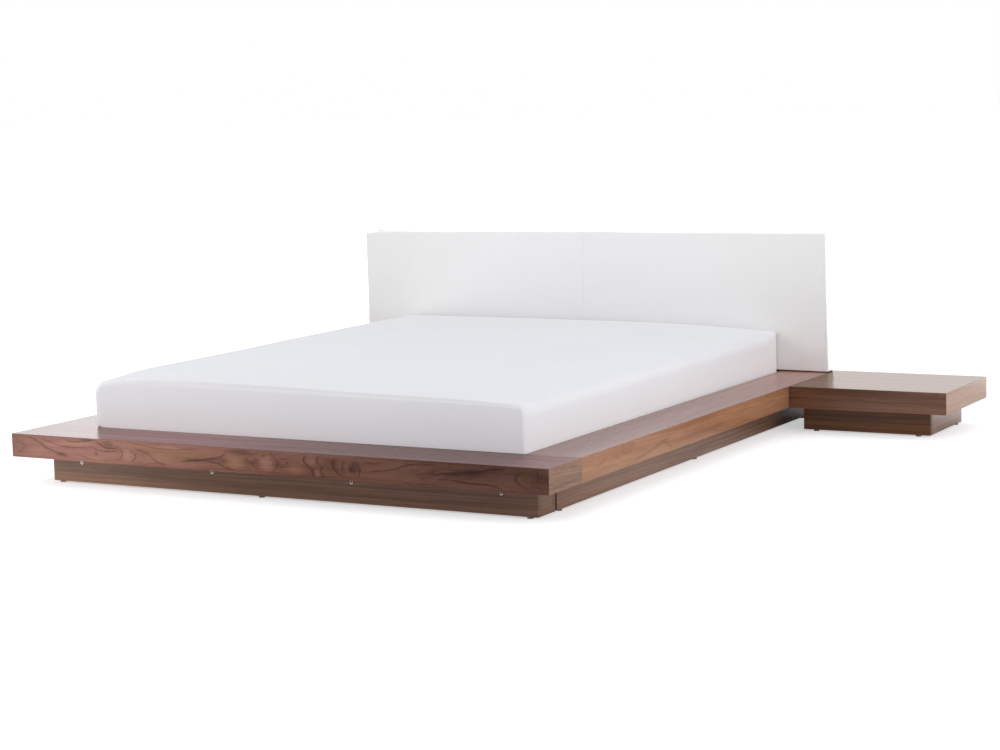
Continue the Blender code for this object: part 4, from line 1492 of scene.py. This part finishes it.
# Camera, lights and floor
studio = {
    "cameraPlace": (3.9908, -6.82125, 1.270),
    "cameraYaw": 0.5071,
    "cameraPitch": -0.1281,
    "cameraRoll": 0.0261,
    "lens": 82.35,
    "roomLight": 0.72,
    "roomTint": colour(0.965, 0.985, 1.03),
    "roomGlow": 2.8,
    "floorShades": (grey(0.86), grey(0.88)),
    "floorSize": 60,
    "floorDrop": 0.2 * mm,
    "nearLift": 0.50,
    "farLift": 0.80,
    "liftReach": (2.2, 6.0),
    "leftSheen": 3.4,
    "leftReach": (-1.3, -0.2),
    "besideSheen": 0.9,
    "besideReach": (-0.9, -0.3, 0.3, 0.8),
    "besideEnd": (1.2, 1.4),
    "behindSheen": 0.95,
    "behindReach": (1.1, 1.5),
    "farSheen": 3.2,
    "farReach": (2.0, 2.8),
}

softboxes = {
    "keySoftbox": {"place": (-3.4, -4.0, 2.4), "target": (0, 0, 0.2), "size": (2.4, 2.4), "watts": 76,
                   "tint": (1.0, 0.985, 0.96)},
    "fillSoftbox": {"place": (6.0, -1.3, 1.5), "target": (0, 0, 0.2), "size": (3.0, 3.0), "watts": 60},
    "headSoftbox": {"place": (2.6, -0.5, 0.9), "target": (0.85, 1.0, 0.3), "size": (0.8, 0.8),
                    "watts": 5.5},
    "backPanel": {"place": (-4.6, 4.4, 1.3), "target": (0, 0, 0.3), "size": (5.0, 2.4), "watts": 8},
}


def makeCamera():
    yaw, pitch, roll = studio["cameraYaw"], studio["cameraPitch"], studio["cameraRoll"]
    ahead = Vector((-math.sin(yaw) * math.cos(pitch), math.cos(yaw) * math.cos(pitch), math.sin(pitch)))
    right = Vector((math.cos(yaw), math.sin(yaw), 0))
    down = ahead.cross(right)
    rolledRight = math.cos(roll) * right + math.sin(roll) * down
    rolledDown = -math.sin(roll) * right + math.cos(roll) * down
    data = bpy.data.cameras.new("photoCamera")
    data.lens = studio["lens"]
    camera = bpy.data.objects.new("photoCamera", data)
    bpy.context.scene.collection.objects.link(camera)
    turn = Matrix((rolledRight, -rolledDown, -ahead)).transposed()
    camera.matrix_world = Matrix.Translation(studio["cameraPlace"]) @ turn.to_4x4()
    bpy.context.scene.camera = camera


def addSoftbox(name, place, target, size, watts, tint=(1, 1, 1)):
    data = bpy.data.lights.new(name, "AREA")
    data.energy = watts
    data.color = tint
    data.size, data.size_y = size
    if size[0] != size[1]:
        data.shape = "RECTANGLE"
    lamp = bpy.data.objects.new(name, data)
    bpy.context.scene.collection.objects.link(lamp)
    lamp.location = place
    lamp.rotation_euler = (Vector(target) - Vector(place)).to_track_quat("-Z", "Y").to_euler()


def makeWorld():
    # white to the eye, a brighter wall for the lacquer to mirror, and a plain level that lights the bed
    world = bpy.data.worlds.new("paleRoom")
    bpy.context.scene.world = world
    world.use_nodes = True
    rays = addNode(world.node_tree, "ShaderNodeLightPath", {}).outputs
    seen = maths("MAXIMUM", rays["Is Camera Ray"], rays["Is Transmission Ray"])
    plain = maths("MAXIMUM", seen, rays["Is Glossy Ray"])
    unseen = spread(rays["Is Glossy Ray"], 0, 1, studio["roomLight"], studio["roomGlow"])
    setInputs(world.node_tree.nodes["Background"], Color=mixColours(plain, studio["roomTint"], grey(1)),
              Strength=plus(seen, times(unseen, minus(1.0, seen))))


def floorSheen(x, y):
    # a glow that the floor gives only to reflections: painted reflections for the lacquer, bright to the
    # left, beside the bed and behind it
    look = studio
    left = spread(x, *look["leftReach"], look["leftSheen"], 0, True)
    start, full, fading, end = look["besideReach"]
    along = times(spread(y, fading, end, 1, 0), spread(x, *look["besideEnd"], 1, 0))
    beside = times(spread(y, start, full, 0, look["besideSheen"]), along)
    behind = plus(spread(y, *look["behindReach"], 0, look["behindSheen"]),
                  spread(y, *look["farReach"], 0, look["farSheen"]))
    return maths("MAXIMUM", left, plus(beside, behind))


def makeFloor():
    look = studio
    material, shader, place = newMaterial("paleFloor", Roughness=0.9, Specular_IOR_Level=0.1)
    tree = material.node_tree
    setInputs(shader, Base_Color=mixColours(noiseAt(place, 0.7, 2.0), *look["floorShades"]))
    away = addAfter({0: place}, "ShaderNodeVectorMath", operation="LENGTH").outputs["Value"]
    lift = spread(away, *look["liftReach"], look["nearLift"], look["farLift"], True)
    rays = addNode(tree, "ShaderNodeLightPath", {}).outputs
    x, y = splitPlace(place)[:2]
    strength = plus(times(rays["Is Camera Ray"], lift), times(rays["Is Glossy Ray"], floorSheen(x, y)))
    glow = addAfter({"Strength": strength}, "ShaderNodeEmission").outputs[0]
    both = addAfter({0: shader.outputs[0], 1: glow}, "ShaderNodeAddShader").outputs[0]
    setInputs(tree.nodes["Material Output"], Surface=both)
    shape = bmesh.new()
    bmesh.ops.create_grid(shape, x_segments=1, y_segments=1, size=look["floorSize"])
    floor = bpy.data.objects.new("studioFloor", meshFrom("studioFloor", shape, smooth=False))
    bpy.context.scene.collection.objects.link(floor)
    floor.data.materials.append(material)
    floor.location.z = -look["floorDrop"]


makeCamera()
makeWorld()
makeFloor()
for name, softbox in softboxes.items():
    addSoftbox(name, **softbox)
bpy.context.scene.view_settings.view_transform = "Standard"
print("camera, room and lights made")
